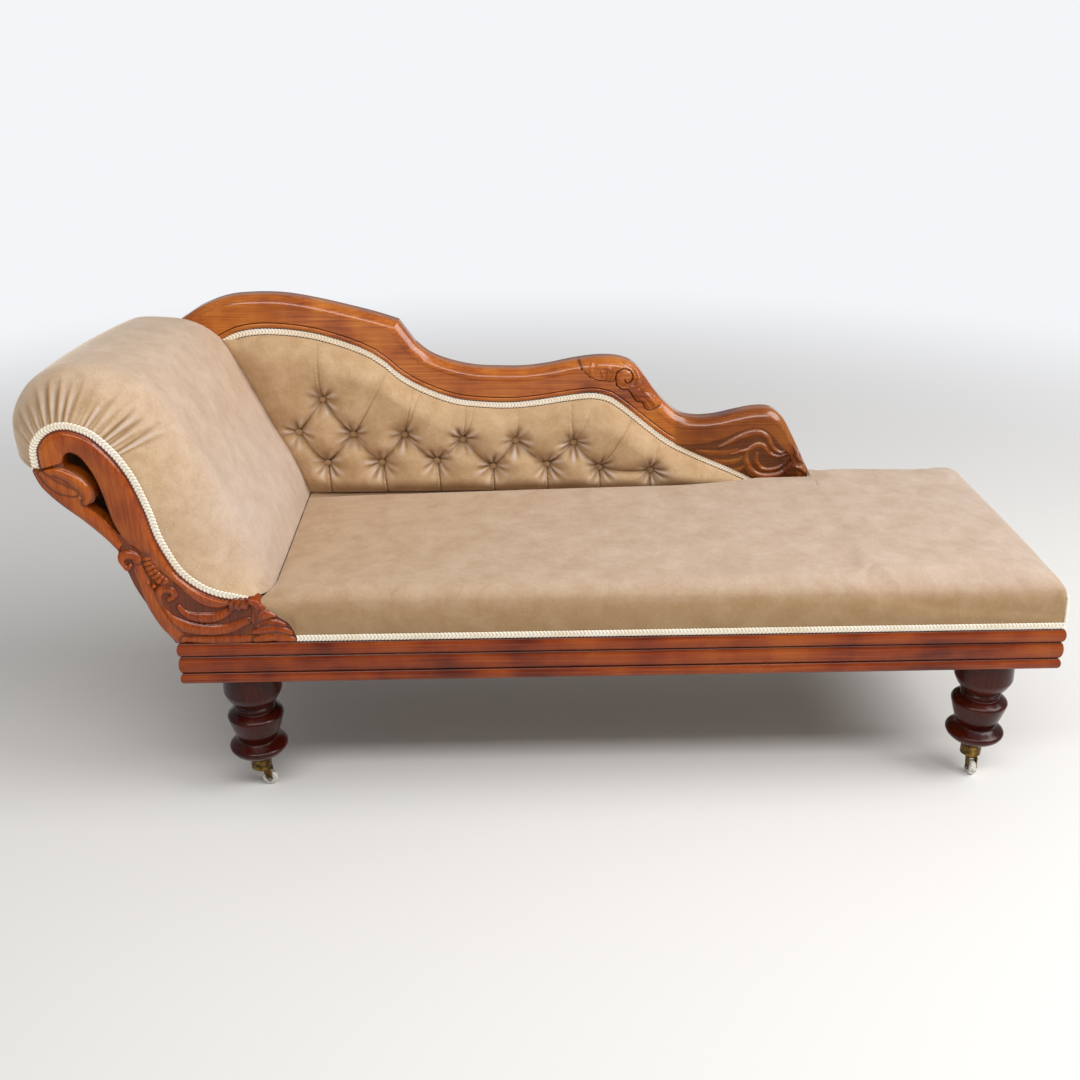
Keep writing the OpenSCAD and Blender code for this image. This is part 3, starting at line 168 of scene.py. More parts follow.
def polished(name, along, tones=("#5A1C06", "#8A360A", "#A65014"), sheen=0.22, gloss=0.2):
    """French-polished mahogany, with its grain along one axis: streaks 3 mm wide and a hand's
    breadth long, a slower drift from red to orange, fine open pores, and a clear hard gloss.
    The wax attribute darkens hollows: painted shade, which also stands for wax left in them."""
    material, tree, shader, place = begun(name)
    across, lengthwise, pores = 330, 7, 1100
    streak_scale = [across] * 3
    streak_scale[along] = lengthwise
    pore_scale = [pores] * 3
    pore_scale[along] = pores / 16
    stretched = add(tree, "Mapping", {"Scale": streak_scale}, {"Vector": place})
    streaks = add(tree, "TexNoise", {"Scale": 1, "Detail": 4, "Roughness": 0.55,
                                     "Distortion": 0.4}, {"Vector": stretched.outputs[0]})
    drift = add(tree, "TexNoise", {"Scale": 9, "Detail": 3}, {"Vector": place})
    both = add(tree, "Mix", {"data_type": "FLOAT", 0: 0.62},
               {2: streaks.outputs[0], 3: drift.outputs[0]})
    colour = add(tree, "ValToRGB", {"stops": [(0.36, tones[0]), (0.50, tones[1]),
                                              (0.66, tones[2])]}, {0: both.outputs[0]})
    # Painted shade: a dark brown is mixed in where the wax attribute marks hollows and quirks.
    wax = add(tree, "Attribute", {"attribute_name": "wax"})
    shaded_colour = add(tree, "Mix", {"data_type": "RGBA", "blend_type": "MIX", 7: linear("#2A0B05")},
                {0: wax.outputs["Fac"], 6: colour.outputs[0]})
    tree.links.new(shaded_colour.outputs[2], shader.inputs["Base Color"])
    fine = add(tree, "Mapping", {"Scale": pore_scale}, {"Vector": place})
    pore = add(tree, "TexNoise", {"Scale": 1, "Detail": 2}, {"Vector": fine.outputs[0]})
    bump = add(tree, "Bump", {"Strength": 0.06, "Distance": 0.3 * mm}, {"Height": pore.outputs[0]})
    tree.links.new(bump.outputs[0], shader.inputs["Normal"])
    uneven_amount = add(tree, "MapRange", {"To Min": sheen - 0.06, "To Max": sheen + 0.12},
                 {"Value": drift.outputs[0]})
    tree.links.new(uneven_amount.outputs[0], shader.inputs["Roughness"])
    shader.inputs["Specular IOR Level"].default_value = 0.22
    shader.inputs["Coat Weight"].default_value = gloss
    shader.inputs["Coat Roughness"].default_value = 0.14
    return material


def surface(rows, around=False, ends=False):
    """Points and faces of a grid, rows by columns: a quad joins each four neighbours, `around`
    joins the last column to the first, and `ends` closes the first and the last row."""
    rows = np.asarray(rows, float)
    n, m = rows.shape[:2]
    i, j = np.meshgrid(np.arange(n - 1), np.arange(m if around else m - 1), indexing="ij")
    k = (j + 1) % m
    quads = np.stack([i * m + j, (i + 1) * m + j, (i + 1) * m + k, i * m + k], -1)
    faces = quads.reshape(-1, 4).tolist()
    if ends:
        faces += [list(range(m)), list(range((n - 1) * m, n * m))]
    return rows.reshape(-1, 3), faces


def marked(piece, **amounts):
    """Keeps named values from 0 to 1 at each point: painted shade in the hollows of wood and
    braid, painted shade on velvet, or velvet made paler, painted light with some wear."""
    for name, amount in amounts.items():
        piece.data.attributes.new(name, "FLOAT", "POINT").data.foreach_set(
            "value", np.clip(amount, 0, 1).astype(np.float32).ravel())


polished_x = polished("mahogany_french_polished_lengthwise", 0)
polished_y = polished("mahogany_french_polished_crosswise", 1)
share = np.concatenate([np.linspace(a, b, reed_steps, endpoint=i == 2) for i, (a, b) in
                        enumerate(zip(reed_shares, reed_shares[1:]))])
turn = np.concatenate([np.linspace(-1, 1, reed_steps, endpoint=i == 2) for i in range(3)])
reed_depth = reed_d * (1 - np.sqrt(1 - turn ** 2))
profile = np.vstack([np.column_stack([reed_depth, share * rail_h]),
                     [[rail_t, rail_h], [rail_t, 0]]])
# Painted shade: the quirks between the reeds are darkened, most where the reeds meet.
shade_between = np.append(np.abs(turn) ** 6, [0, 0])
rail_runs = [
    ("front_rail", rail_low[:2], (1, 0), (0, 1), seat_l, (1, 1), polished_x),
    ("head_rail", rail_low[:2], (0, 1), (1, 0), seat_d, (1, 0), polished_y),
    ("foot_rail", [rail_high[0], rail_low[1]], (0, 1), (-1, 0), seat_d, (1, 0), polished_y)]
for name, corner, along, inward, length, mitres, material in rail_runs:
    depth, height = profile.T
    rows = []
    for t in np.linspace(0, 1, 3):
        run = depth * mitres[0] * (1 - t) + (length - depth * mitres[1]) * t
        plan = np.array(corner) + np.outer(run, along) + np.outer(depth, inward)
        rows.append(np.column_stack([plan, rail_low[2] + height]))
    rail = shown(name + "_reeded", *surface(rows, around=True, ends=True), material)
    marked(rail, wax=np.tile(shade_between, 3))
    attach(rail, "frame")
    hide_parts(name)

# The frame under the seat. Plain sawn beech, left unpolished: rear rail, corner blocks, dished
# stretchers, the back's lower rail and stiles, and the head end's rear board, laths and rails.


def dressed(names, material):
    """Gives the frame's own nodes, left as they are, their material."""
    for name in names:
        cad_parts[name].data.materials.clear()
        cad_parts[name].data.materials.append(material)


frame_wood, tree, shader, place = begun("beech_sawn")
stretched = add(tree, "Mapping", {"Scale": (9, 260, 260)}, {"Vector": place})
streaks = add(tree, "TexNoise", {"Scale": 1, "Detail": 5, "Distortion": 0.6},
              {"Vector": stretched.outputs[0]})
colour = add(tree, "ValToRGB", {"stops": [(0.35, "#8A6238"), (0.5, "#A87C4B"),
                                          (0.68, "#BE9763")]}, {0: streaks.outputs[0]})
tree.links.new(colour.outputs[0], shader.inputs["Base Color"])
bump = add(tree, "Bump", {"Strength": 0.25, "Distance": 0.4 * mm}, {"Height": streaks.outputs[0]})
tree.links.new(bump.outputs[0], shader.inputs["Normal"])
shader.inputs["Roughness"].default_value = 0.7
dressed(["rear_rail", "corner_blocks", "seat_stretchers", "scroll_rear", "head_laths",
         "head_lower_rail", "head_seat_rail", "back_lower_rail", "back_stiles"], frame_wood)

# The seat's foundation. Jute webbing tacked across and along, coil springs stood on it, and
# hessian over the springs; the same hessian lines the headrest and the back.
jute, tree, shader, place = begun("jute_woven")
thread, wave_bands = 2.4 * mm, 20
warp, weft = (add(tree, "TexWave", {"bands_direction": way, "Scale": 1 / (thread * wave_bands),
                                    "Distortion": 0.6}, {"Vector": place}) for way in "XY")
weave = add(tree, "Math", {"operation": "MULTIPLY"}, {0: warp.outputs[1], 1: weft.outputs[1]})
colour = add(tree, "ValToRGB", {"stops": [(0.0, "#5E4526"), (0.6, "#97794B"),
                                          (1.0, "#B0925F")]}, {0: weave.outputs[0]})
tree.links.new(colour.outputs[0], shader.inputs["Base Color"])
bump = add(tree, "Bump", {"Strength": 0.5, "Distance": 0.6 * mm}, {"Height": weave.outputs[0]})
tree.links.new(bump.outputs[0], shader.inputs["Normal"])
shader.inputs["Roughness"].default_value = 0.95
dressed(["webbing_cross", "webbing_long", "spring_hessian", "headrest_lining", "back_lining"],
        jute)

steel, tree, shader, place = begun("steel_wire_dull")
spots = add(tree, "TexNoise", {"Scale": 180, "Detail": 4}, {"Vector": place})
colour = add(tree, "ValToRGB", {"stops": [(0.4, "#6B6761"), (0.62, "#A5A39F")]},
             {0: spots.outputs[0]})
tree.links.new(colour.outputs[0], shader.inputs["Base Color"])
shader.inputs["Metallic"].default_value = 1
shader.inputs["Roughness"].default_value = 0.42
corners = ["front_left", "front_right", "rear_left", "rear_right"]
dressed(["seat_springs", "back_bolts"] + ["castor_axle_" + c for c in corners], steel)

# The legs. Mahogany turned on a lathe, coloured darker than the rails as painted shade under the
# seat: a neck and ring under the rail, a tapering bowl, a wide ring at the bottom and a foot cut
# to sit in the castor's cup.
leg_shares = [
    [0.095, 0.42], [0.133, 0.62], [0.181, 0.88], [0.220, 1.00], [0.254, 0.98],
    [0.292, 0.73], [0.316, 0.69], [0.398, 0.81], [0.519, 0.95], [0.557, 0.95],
    [0.591, 0.77], [0.605, 0.67], [0.639, 0.69], [0.663, 0.65], [0.711, 0.83],
    [0.783, 0.98], [0.831, 1.00], [1.000, 0.96]]
leg_r, foot_r, spigot_r, tip_r = 52 * mm, 17.1 * mm, 15 * mm, 0.1 * mm
leg_segments = 72


def smooth_line(points, steps):
    """Curve through the points. Between b and c, with a before and d after, the place at the
    share t is half of 2b + (c - a) t + (2a - 5b + 4c - d) t^2 + (3b - a - 3c + d) t^3."""
    p = np.asarray(points, float)
    places = np.arange(len(p) - 1)[:, None] + [-1, 0, 1, 2]
    a, b, c, d = np.moveaxis(p[np.clip(places, 0, len(p) - 1)], 1, 0)[:, :, None]
    t = (np.arange(steps) / steps)[None, :, None]
    curve = (2 * b + (c - a) * t + (2 * a - 5 * b + 4 * c - d) * t ** 2
             + (3 * b - a - 3 * c + d) * t ** 3) / 2
    return np.vstack([curve.reshape(-1, p.shape[1]), p[-1:]])


def turned(profile, centre, segments):
    """Grid of a profile of (radius, height) points carried once round a vertical axis."""
    angle = np.linspace(0, 2 * np.pi, segments, endpoint=False)
    radius, height = np.asarray(profile).T
    return np.stack([centre[0] + np.outer(radius, np.cos(angle)),
                     centre[1] + np.outer(radius, np.sin(angle)),
                     np.broadcast_to(height[:, None], (len(radius), segments))], -1)


# Painted shade: the legs' tones are darker than the rails' to stand in for the shade under the
# seat.
leg_wood = polished("mahogany_turned_shaded", 2, ("#1C0302", "#380B04", "#4E1708"), 0.2, 0.1)
for corner in corners:
    low, high = (np.array(p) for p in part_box("leg_" + corner))
    middle, top = (low + high) / 2, rail_low[2]
    outline = smooth_line(leg_shares, 6)[:, ::-1] * [leg_r, top - low[2]] + [0, low[2]]
    foot = [[tip_r, low[2]], [foot_r, low[2]], [foot_r, outline[0, 1] - 1 * mm]]
    spigot = [[spigot_r, top], [spigot_r, high[2]], [tip_r, high[2]]]
    profile = np.vstack([foot, outline, spigot])
    leg = shown("leg_turned_" + corner,
                *surface(turned(profile, middle, leg_segments), around=True, ends=True), leg_wood)
    # Painted shade: the narrow necks and grooves of the turning are darkened.
    narrow = 1 - np.interp(profile[:, 0], [0.62 * leg_r, 0.8 * leg_r], [0, 1])
    marked(leg, wax=0.5 * np.repeat(narrow * (profile[:, 1] > outline[2, 1]), leg_segments))
    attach(leg, "frame")
    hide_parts("leg_" + corner)

# The castors. Cast brass, dulled brown with age, with white glazed ceramic wheels on steel
# axles; a cup holds the leg's foot, and the horn turns on the pintle under it.
brass, tree, shader, place = begun("brass_cast_tarnished")
spots = add(tree, "TexNoise", {"Scale": 90, "Detail": 6, "Roughness": 0.6}, {"Vector": place})
colour = add(tree, "ValToRGB", {"stops": [(0.35, "#3A2A16"), (0.52, "#6E5428"),
                                          (0.7, "#A5813C")]}, {0: spots.outputs[0]})
tree.links.new(colour.outputs[0], shader.inputs["Base Color"])
dull = add(tree, "MapRange", {"To Min": 0.55, "To Max": 0.3}, {"Value": spots.outputs[0]})
tree.links.new(dull.outputs[0], shader.inputs["Roughness"])
bump = add(tree, "Bump", {"Strength": 0.3, "Distance": 0.3 * mm}, {"Height": spots.outputs[0]})
tree.links.new(bump.outputs[0], shader.inputs["Normal"])
shader.inputs["Metallic"].default_value = 0.85

china, tree, shader, place = begun("ceramic_white_glazed")
crazing = add(tree, "TexNoise", {"Scale": 140, "Detail": 6}, {"Vector": place})
colour = add(tree, "ValToRGB", {"stops": [(0.34, "#A39A8C"), (0.5, "#D9D4CA"),
                                          (0.7, "#EFECE4")]}, {0: crazing.outputs[0]})
tree.links.new(colour.outputs[0], shader.inputs["Base Color"])
shader.inputs["Roughness"].default_value = 0.18
for corner in corners:
    dressed(["castor_socket_" + corner, "castor_fork_" + corner], brass)
    dressed(["castor_wheel_" + corner], china)

# The scroll at the head end. One mahogany board, sawn to an S, pierced with a slot and carved:
# a rounded main limb, a lower limb that ends in a beaked head, a ribbed band above the heel, two
# C-scrolls, and a leaf whose cuff and fan lie over the toe.
carve_h, board_t = 8 * mm, 22 * mm
scroll_out, scroll_w, scroll_h = 193 * mm, 400 * mm, 400 * mm
gimp_w, wrap_t = 13 * mm, 3 * mm
face_y = rail_low[1]


def in_scroll(shares):
    """Length and height in metres of shares of the scroll's own box: share times its size, plus
    its corner."""
    return np.asarray(shares, float) * [scroll_w, scroll_h] + [rail_low[0] - scroll_out, rail_top]


def beside(line, distance):
    """The line drawn a distance, or a distance for each point, to its right."""
    along = np.gradient(line, axis=0)
    along /= np.linalg.norm(along, axis=1)[:, None]
    return line + np.reshape(distance, (-1, 1)) * np.column_stack([along[:, 1], -along[:, 0]])


def to_line(points, line):
    """Distance of each point from a line of segments, the share of the line's length where it
    is nearest, and that nearest place."""
    a, b = line[:-1], line[1:]
    length = np.linalg.norm(b - a, axis=1)
    start = np.concatenate([[0], np.cumsum(length)[:-1]])
    best = np.full(len(points), np.inf)
    share, nearest = np.zeros(len(points)), np.zeros((len(points), 2))
    for p, q, l, s in zip(a, b, length, start):
        t = np.clip(((points - p) @ (q - p)) / max(l * l, 1e-12), 0, 1)
        place = p + t[:, None] * (q - p)
        gap = np.linalg.norm(points - place, axis=1)
        closer = gap < best
        best[closer], share[closer] = gap[closer], (s + t * l)[closer]
        nearest[closer] = place[closer]
    return best, share / length.sum(), nearest


def inside(points, loop):
    """Whether each point lies in a closed loop: a ray to the right crosses it an odd number of
    times."""
    x, z = points.T
    odd = np.zeros(len(points), bool)
    for (x0, z0), (x1, z1) in zip(loop, np.roll(loop, -1, axis=0)):
        level = (z0 > z) != (z1 > z)
        if level.any():
            odd ^= level & (x < (x1 - x0) * (z - z0) / (z1 - z0 if z1 != z0 else 1) + x0)
    return odd


def raised(points, path, width, height, power=0.5):
    """A ridge along a path: height times (1 - (distance / width)^2) to a power, where width and
    height are lists of values spread evenly over the path."""
    gap, share, _ = to_line(points, path)
    w = np.interp(share, np.linspace(0, 1, len(width)), width)
    h = np.interp(share, np.linspace(0, 1, len(height)), height)
    return h * np.clip(1 - (gap / w) ** 2, 0, 1) ** power


def carved(name, loops, relief, pitch, front_y, back_y, material):
    """A carved board. Points stand at an even pitch over the outline, the first loop less the
    others; the rim's points are drawn onto the loops, the face stands `relief` forward of
    front_y, and straight walls join it to a flat back."""
    low, high = loops[0].min(0) - pitch, loops[0].max(0) + pitch
    count = np.ceil((high - low) / pitch).astype(int) + 1
    grid = np.stack(np.meshgrid(*[low[k] + pitch * np.arange(count[k]) for k in (0, 1)],
                                indexing="ij"), -1)
    flat = grid.reshape(-1, 2)
    within = inside(flat, loops[0])
    gap, nearest = np.full(len(flat), np.inf), flat.copy()
    for k, loop in enumerate(loops):
        distance, _, place = to_line(flat, np.vstack([loop, loop[:1]]))
        closer = distance < gap
        gap[closer], nearest[closer] = distance[closer], place[closer]
        if k:
            within &= ~inside(flat, loop)
    kept = (within | (gap < 0.4 * pitch)).reshape(count)
    index = np.arange(len(flat)).reshape(count)
    cells = np.stack([index[:-1, :-1], index[1:, :-1], index[1:, 1:], index[:-1, 1:]], -1)
    full = kept.ravel()[cells]
    faces = [list(c) for c in cells[full.all(-1)]]
    faces += [[v for v, f in zip(c, ok) if f] for c, ok in
              zip(cells[full.sum(-1) == 3], full[full.sum(-1) == 3])]
    edges = {}
    for face in faces:
        for a, b in zip(face, face[1:] + face[:1]):
            edges[(a, b)] = edges.get((a, b), 0) + 1
    rim = [(a, b) for a, b in edges if (b, a) not in edges]
    used = np.unique([v for face in faces for v in face])
    new = np.full(len(flat), -1)
    new[used] = np.arange(len(used))
    on_rim = np.unique([v for edge in rim for v in edge])
    flat[on_rim] = nearest[on_rim]
    points = flat[used]
    height, wax = relief(points)
    front = np.column_stack([points[:, 0], front_y - height, points[:, 1]])
    back = np.column_stack([points[:, 0], np.full(len(points), back_y), points[:, 1]])
    n = len(used)
    front_faces = [[int(new[v]) for v in face] for face in faces]
    walls = [[int(new[a]), int(new[b]), int(new[b]) + n, int(new[a]) + n] for a, b in rim]
    back_faces = [[v + n for v in face[::-1]] for face in front_faces]
    piece = shown(name, np.vstack([front, back]), front_faces + walls + back_faces, material,
                  turn=55)
    marked(piece, wax=np.concatenate([wax, wax * 0]))
    return piece


head_shares = [
    [0.812, 0.220, 0.890, 0.175], [0.757, 0.235, 0.877, 0.228],
    [0.680, 0.255, 0.862, 0.288], [0.610, 0.295, 0.838, 0.356],
    [0.552, 0.355, 0.808, 0.422], [0.512, 0.435, 0.770, 0.494],
    [0.482, 0.517, 0.733, 0.568], [0.463, 0.608, 0.693, 0.656],
    [0.438, 0.695, 0.652, 0.744], [0.410, 0.775, 0.608, 0.836],
    [0.367, 0.855, 0.555, 0.940], [0.320, 0.917, 0.498, 1.038],
    [0.273, 0.963, 0.418, 1.120], [0.223, 0.990, 0.322, 1.170],
    [0.168, 1.005, 0.210, 1.188], [0.107, 0.998, 0.085, 1.176],
    [0.048, 0.963, -0.032, 1.108], [0.007, 0.900, -0.110, 0.984],
    [0.003, 0.812, -0.112, 0.835]]
limb_shares = [
    [0.743, 0.182], [0.667, 0.165], [0.593, 0.195], [0.527, 0.268], [0.458, 0.345],
    [0.388, 0.430], [0.333, 0.487], [0.302, 0.550], [0.285, 0.618], [0.273, 0.680],
    [0.260, 0.735], [0.245, 0.782], [0.230, 0.812], [0.212, 0.843], [0.193, 0.865],
    [0.172, 0.875], [0.155, 0.873], [0.140, 0.863], [0.130, 0.835]]
toe_shares = [[0.848, 0.205], [0.873, 0.176], [0.927, 0.140], [0.956, 0.104], [0.980, 0.066],
              [0.993, 0.028], [1.000, 0.004], [1.000, 0.000]]
heel_shares = [
    [0.477, 0.000], [0.477, 0.007], [0.435, 0.072], [0.395, 0.160], [0.347, 0.265],
    [0.320, 0.350], [0.295, 0.405], [0.297, 0.438]]
lower_shares = [
    [0.297, 0.438, 0.318, 0.475], [0.253, 0.497, 0.285, 0.543],
    [0.185, 0.570, 0.248, 0.598], [0.138, 0.613, 0.214, 0.630],
    [0.098, 0.650, 0.200, 0.645], [0.062, 0.688, 0.232, 0.668],
    [0.030, 0.730, 0.236, 0.712], [0.013, 0.770, 0.198, 0.778],
    [0.005, 0.800, 0.135, 0.815]]
line_steps = 10
braid_line = in_scroll(smooth_line(head_shares, line_steps)[:, :2])
limb_line = in_scroll(smooth_line(limb_shares, line_steps))
toe_line = in_scroll(smooth_line(toe_shares, line_steps))
heel_line = in_scroll(smooth_line(heel_shares, line_steps))
both_lower = smooth_line(lower_shares, line_steps)
lower_outer, lower_inner = in_scroll(both_lower[:, :2]), in_scroll(both_lower[:, 2:])
board_line = beside(braid_line, -wrap_t)
outline = np.vstack([board_line[::-1], toe_line, heel_line, lower_outer[1:]])
slot_start = 6 * line_steps
slot = np.vstack([limb_line[slot_start:], lower_inner[:line_steps:-1]])
limb_edge = beside(braid_line, -gimp_w - wrap_t)
limb_loop = np.vstack([limb_edge, limb_line[::-1]])
lower_loop = np.vstack([lower_outer, lower_inner[::-1]])
limb_section = [(0, 0.30), (0.04, 0.62), (0.10, 0.84), (0.20, 1), (0.32, 1.03), (0.50, 0.92),
                (0.72, 0.70), (0.90, 0.45), (1, 0.18)]
lower_section = [(0, 0.12), (0.10, 0.42), (0.25, 0.66), (0.45, 0.74), (0.7, 0.62), (0.9, 0.34),
                 (1, 0.1)]
big_c_shares = [
    [0.478, 0.212], [0.503, 0.232], [0.492, 0.256], [0.465, 0.262], [0.441, 0.248],
    [0.427, 0.218], [0.427, 0.182], [0.444, 0.142], [0.478, 0.106], [0.530, 0.080],
    [0.592, 0.066], [0.659, 0.061], [0.718, 0.069], [0.768, 0.091], [0.802, 0.106]]
small_c_shares = [[0.516, 0.176], [0.532, 0.150], [0.562, 0.131], [0.610, 0.122],
                  [0.655, 0.123], [0.695, 0.136], [0.742, 0.166]]
heel_ridge_shares = [[0.364, 0.401], [0.372, 0.349], [0.384, 0.297], [0.398, 0.238],
                     [0.416, 0.166], [0.444, 0.106], [0.474, 0.063], [0.505, 0.024]]
heel_curl_shares = [[0.372, 0.404], [0.352, 0.420], [0.325, 0.422], [0.303, 0.405],
                    [0.304, 0.378], [0.322, 0.362], [0.338, 0.374]]
base_shares = [[0.520, 0.018], [0.600, 0.014], [0.700, 0.012], [0.800, 0.016], [0.860, 0.030]]
fan_shares = [
    ([[0.852, 0.102], [0.878, 0.131], [0.918, 0.128]], [5, 13, 3], 1.10),
    ([[0.838, 0.075], [0.900, 0.093], [0.952, 0.082]], [5, 10, 5], 0.92),
    ([[0.823, 0.050], [0.887, 0.061], [0.940, 0.054], [0.974, 0.040]], [5, 10, 11, 6], 0.98),
    ([[0.825, 0.010], [0.895, 0.024], [0.948, 0.018], [0.990, 0.008]], [5, 9, 10, 5], 0.86)]
cuff_shares = [
    ([[0.743, 0.176], [0.756, 0.199]], [8, 7], 1.10),
    ([[0.769, 0.171], [0.780, 0.200]], [8, 7], 1.16),
    ([[0.796, 0.176], [0.806, 0.200]], [8, 7], 1.20),
    ([[0.822, 0.199], [0.838, 0.177], [0.838, 0.147], [0.829, 0.112], [0.841, 0.080]],
     [6, 7, 7, 7, 6], 1.22),
    ([[0.826, 0.201], [0.848, 0.190], [0.863, 0.165], [0.855, 0.135], [0.849, 0.105]],
     [6, 7, 7, 6, 4], 1.12)]
eye_share, eye_r = [0.180, 0.680], 5 * mm
lobe_shares = [[0.040, 0.790], [0.078, 0.746], [0.120, 0.720], [0.160, 0.706]]
rib_shares, rib_count = [[0.408, 0.417], [0.414, 0.380], [0.427, 0.345], [0.448, 0.313],
                         [0.478, 0.286]], 7
bead_shares = [[0.423, 0.277], [0.401, 0.293]]
beak_shares = [[0.064, 0.800], [0.108, 0.796], [0.152, 0.772], [0.190, 0.737], [0.210, 0.697],
               [0.199, 0.660]]


def scroll_relief(points):
    """Height of the carving: the limbs' sections by the share of the way across them, and the
    greatest of the ridges, domes and ribs elsewhere. Painted shade lies where the ground is low
    and at the feet of the ridges."""
    ground = 0.12 * carve_h
    height = np.full(len(points), ground)
    for loop, edge, other, section in [
            (limb_loop, limb_edge, limb_line, limb_section),
            (lower_loop, lower_outer, lower_inner, lower_section)]:
        there = inside(points, loop)
        from_edge, from_other = to_line(points, edge)[0], to_line(points, other)[0]
        across = from_edge / np.maximum(from_edge + from_other, 1e-9)
        height[there] = carve_h * np.interp(across[there], *np.transpose(section))
    # Painted shade: foot darkens the ground at the foot of each ridge, where shade falls.
    foot = np.zeros(len(points))
    strokes = [(big_c_shares, [5, 8, 9, 12, 13, 12, 11, 10, 7], 1.0),
               (small_c_shares, [5, 9, 11, 9, 6], 0.95),
               (heel_ridge_shares, [8, 10, 11, 12, 12], 0.88),
               (heel_curl_shares, [8, 9, 9, 7, 4], 1.1),
               (base_shares, [6, 9, 9, 7], 0.55),
               (beak_shares, [5, 8, 9, 10, 9, 5], 1.08),
               (lobe_shares, [4, 7, 8, 5], 0.8)] + cuff_shares + fan_shares
    for shares, width, most in strokes:
        path = smooth_line(in_scroll(shares), line_steps)
        ridge = raised(points, path, np.array(width) * mm, [0.75, 1, 1, 0.75], 0.6)
        near = raised(points, path, np.array(width) * mm + 5 * mm, [1, 1], 0.8)
        height = np.maximum(height, most * carve_h * ridge)
        foot = np.maximum(foot * (ridge < 0.3), np.clip(1.6 * near - 3 * ridge, 0, 1))
    path = smooth_line(in_scroll(rib_shares), line_steps)
    gap, share, _ = to_line(points, path)
    wave = np.abs(np.sin(np.pi * rib_count * share))
    on_band = np.clip(1 - (gap / (11 * mm)) ** 4, 0, 1)
    height = np.maximum(height, (0.42 + 0.45 * wave) * carve_h * on_band)
    # Painted shade in the hollows between the ribs.
    foot = np.maximum(foot, 0.8 * on_band * (1 - wave) ** 2)
    for centre in [eye_share] + bead_shares:
        gap = np.linalg.norm(points - in_scroll(centre), axis=1) / eye_r
        height = np.maximum(height, 1.15 * carve_h * np.clip(1 - gap ** 2, 0, 1) ** 0.5)
    # Painted shade on the low ground between the ridges.
    wax = 0.55 * np.clip(1 - (height / carve_h - 0.12) / 0.25, 0, 1)
    return height, np.maximum(wax, 0.7 * foot)


scroll_wood = polished("mahogany_french_polished_upright", 2,
                       ("#6C2406", "#9A4208", "#B86010"), 0.2, 0.4)
scroll = carved("scroll_carved", [outline, slot], scroll_relief, 1.5 * mm, face_y + carve_h,
                face_y + carve_h + board_t, scroll_wood)
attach(scroll, "frame")
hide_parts("scroll_front", "scroll_carving")

# The headrest. Beige velvet drawn over horsehair and a roll, full behind the scroll and smaller
# towards the rear, and gathered into pleats round the front end of the roll, where it is tacked
# under the braid.
velvet, tree, shader, place = begun("cotton_velvet_beige")
brushed = add(tree, "TexNoise", {"Scale": 22, "Detail": 8, "Roughness": 0.7, "Distortion": 0.3},
              {"Vector": place})
pile = add(tree, "TexNoise", {"Scale": 620, "Detail": 3}, {"Vector": place})
nap = add(tree, "Mix", {"data_type": "FLOAT", 0: 0.4},
          {2: brushed.outputs[0], 3: pile.outputs[0]})
colour = add(tree, "ValToRGB", {"stops": [(0.34, "#AC8A62"), (0.5, "#BF9E78"),
                                          (0.66, "#CFB28E")]}, {0: nap.outputs[0]})
# Painted light: a paler ramp is mixed in where worn marks tops and crests, with some wear.
uneven_amount = add(tree, "Attribute", {"attribute_name": "worn"})
wear_and_light_colour = add(tree, "ValToRGB", {"stops": [(0.34, "#BBA390"), (0.5, "#CBB5A4"),
                                               (0.66, "#D8C6B7")]}, {0: nap.outputs[0]})
pale = add(tree, "Mix", {"data_type": "RGBA", "blend_type": "MIX"},
           {0: uneven_amount.outputs["Fac"], 6: colour.outputs[0], 7: wear_and_light_colour.outputs[0]})
# Painted shade: a dark golden brown is mixed in where crush marks folds, pits and the seat's
# sides.
shade_node = add(tree, "Attribute", {"attribute_name": "crush"})
deep = add(tree, "Mix", {"data_type": "RGBA", "blend_type": "MIX", 7: linear("#7E5C34")},
           {0: shade_node.outputs["Fac"], 6: pale.outputs[2]})
tree.links.new(deep.outputs[2], shader.inputs["Base Color"])
bump = add(tree, "Bump", {"Strength": 0.25, "Distance": 0.5 * mm}, {"Height": pile.outputs[0]})
tree.links.new(bump.outputs[0], shader.inputs["Normal"])
shader.inputs["Roughness"].default_value = 0.88
shader.inputs["Specular IOR Level"].default_value = 0.2
shader.inputs["Sheen Weight"].default_value = 0.7
shader.inputs["Sheen Roughness"].default_value = 0.38
shader.inputs["Sheen Tint"].default_value = linear("#FFF1DC")

def upright(line, y):
    """Points in space of an upright line's lengths and heights, all at the depth y."""
    return np.column_stack([line[:, 0], np.full(len(line), y), line[:, 1]])


swell_d, board_y = 88 * mm, face_y + carve_h
head_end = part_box("headrest_pad")[1][1]
roll_from, roll_to, roll_narrows = 10, 14, 0.38
fine_steps = 30
fine = smooth_line(head_shares, fine_steps)
fine_braid, fine_head = in_scroll(fine[:, :2]), in_scroll(fine[:, 2:])
length_along = np.concatenate([[0], np.cumsum(np.linalg.norm(np.diff(fine_braid, axis=0),
                                                             axis=1))])
pleat_rng = np.random.default_rng(7)
pleat_from, pleat_to, pleat_count = 10.2 * fine_steps, 17.6 * fine_steps, 17
pleat_lean, pleats_long = 9 * mm, 0.15
pleat_at = np.interp(np.linspace(pleat_from, pleat_to, pleat_count),
                     np.arange(len(fine)), length_along)
pleat_at += pleat_rng.uniform(-2.2, 2.2, pleat_count) * mm
pleat_high = pleat_rng.uniform(0.8, 3.4, pleat_count) * mm
pleat_reach = pleat_rng.uniform(0.45, 0.95, pleat_count)
depths = np.concatenate([np.linspace(0, 1, 60) ** 1.6 * swell_d,
                         np.linspace(swell_d, head_end - board_y, 50)[1:]])
rows, crush, ridge = [], [], []
on_roll = np.clip((np.arange(len(fine)) / fine_steps - roll_from) / (roll_to - roll_from), 0, 1)
taper = roll_narrows * on_roll ** 2 * (3 - 2 * on_roll)
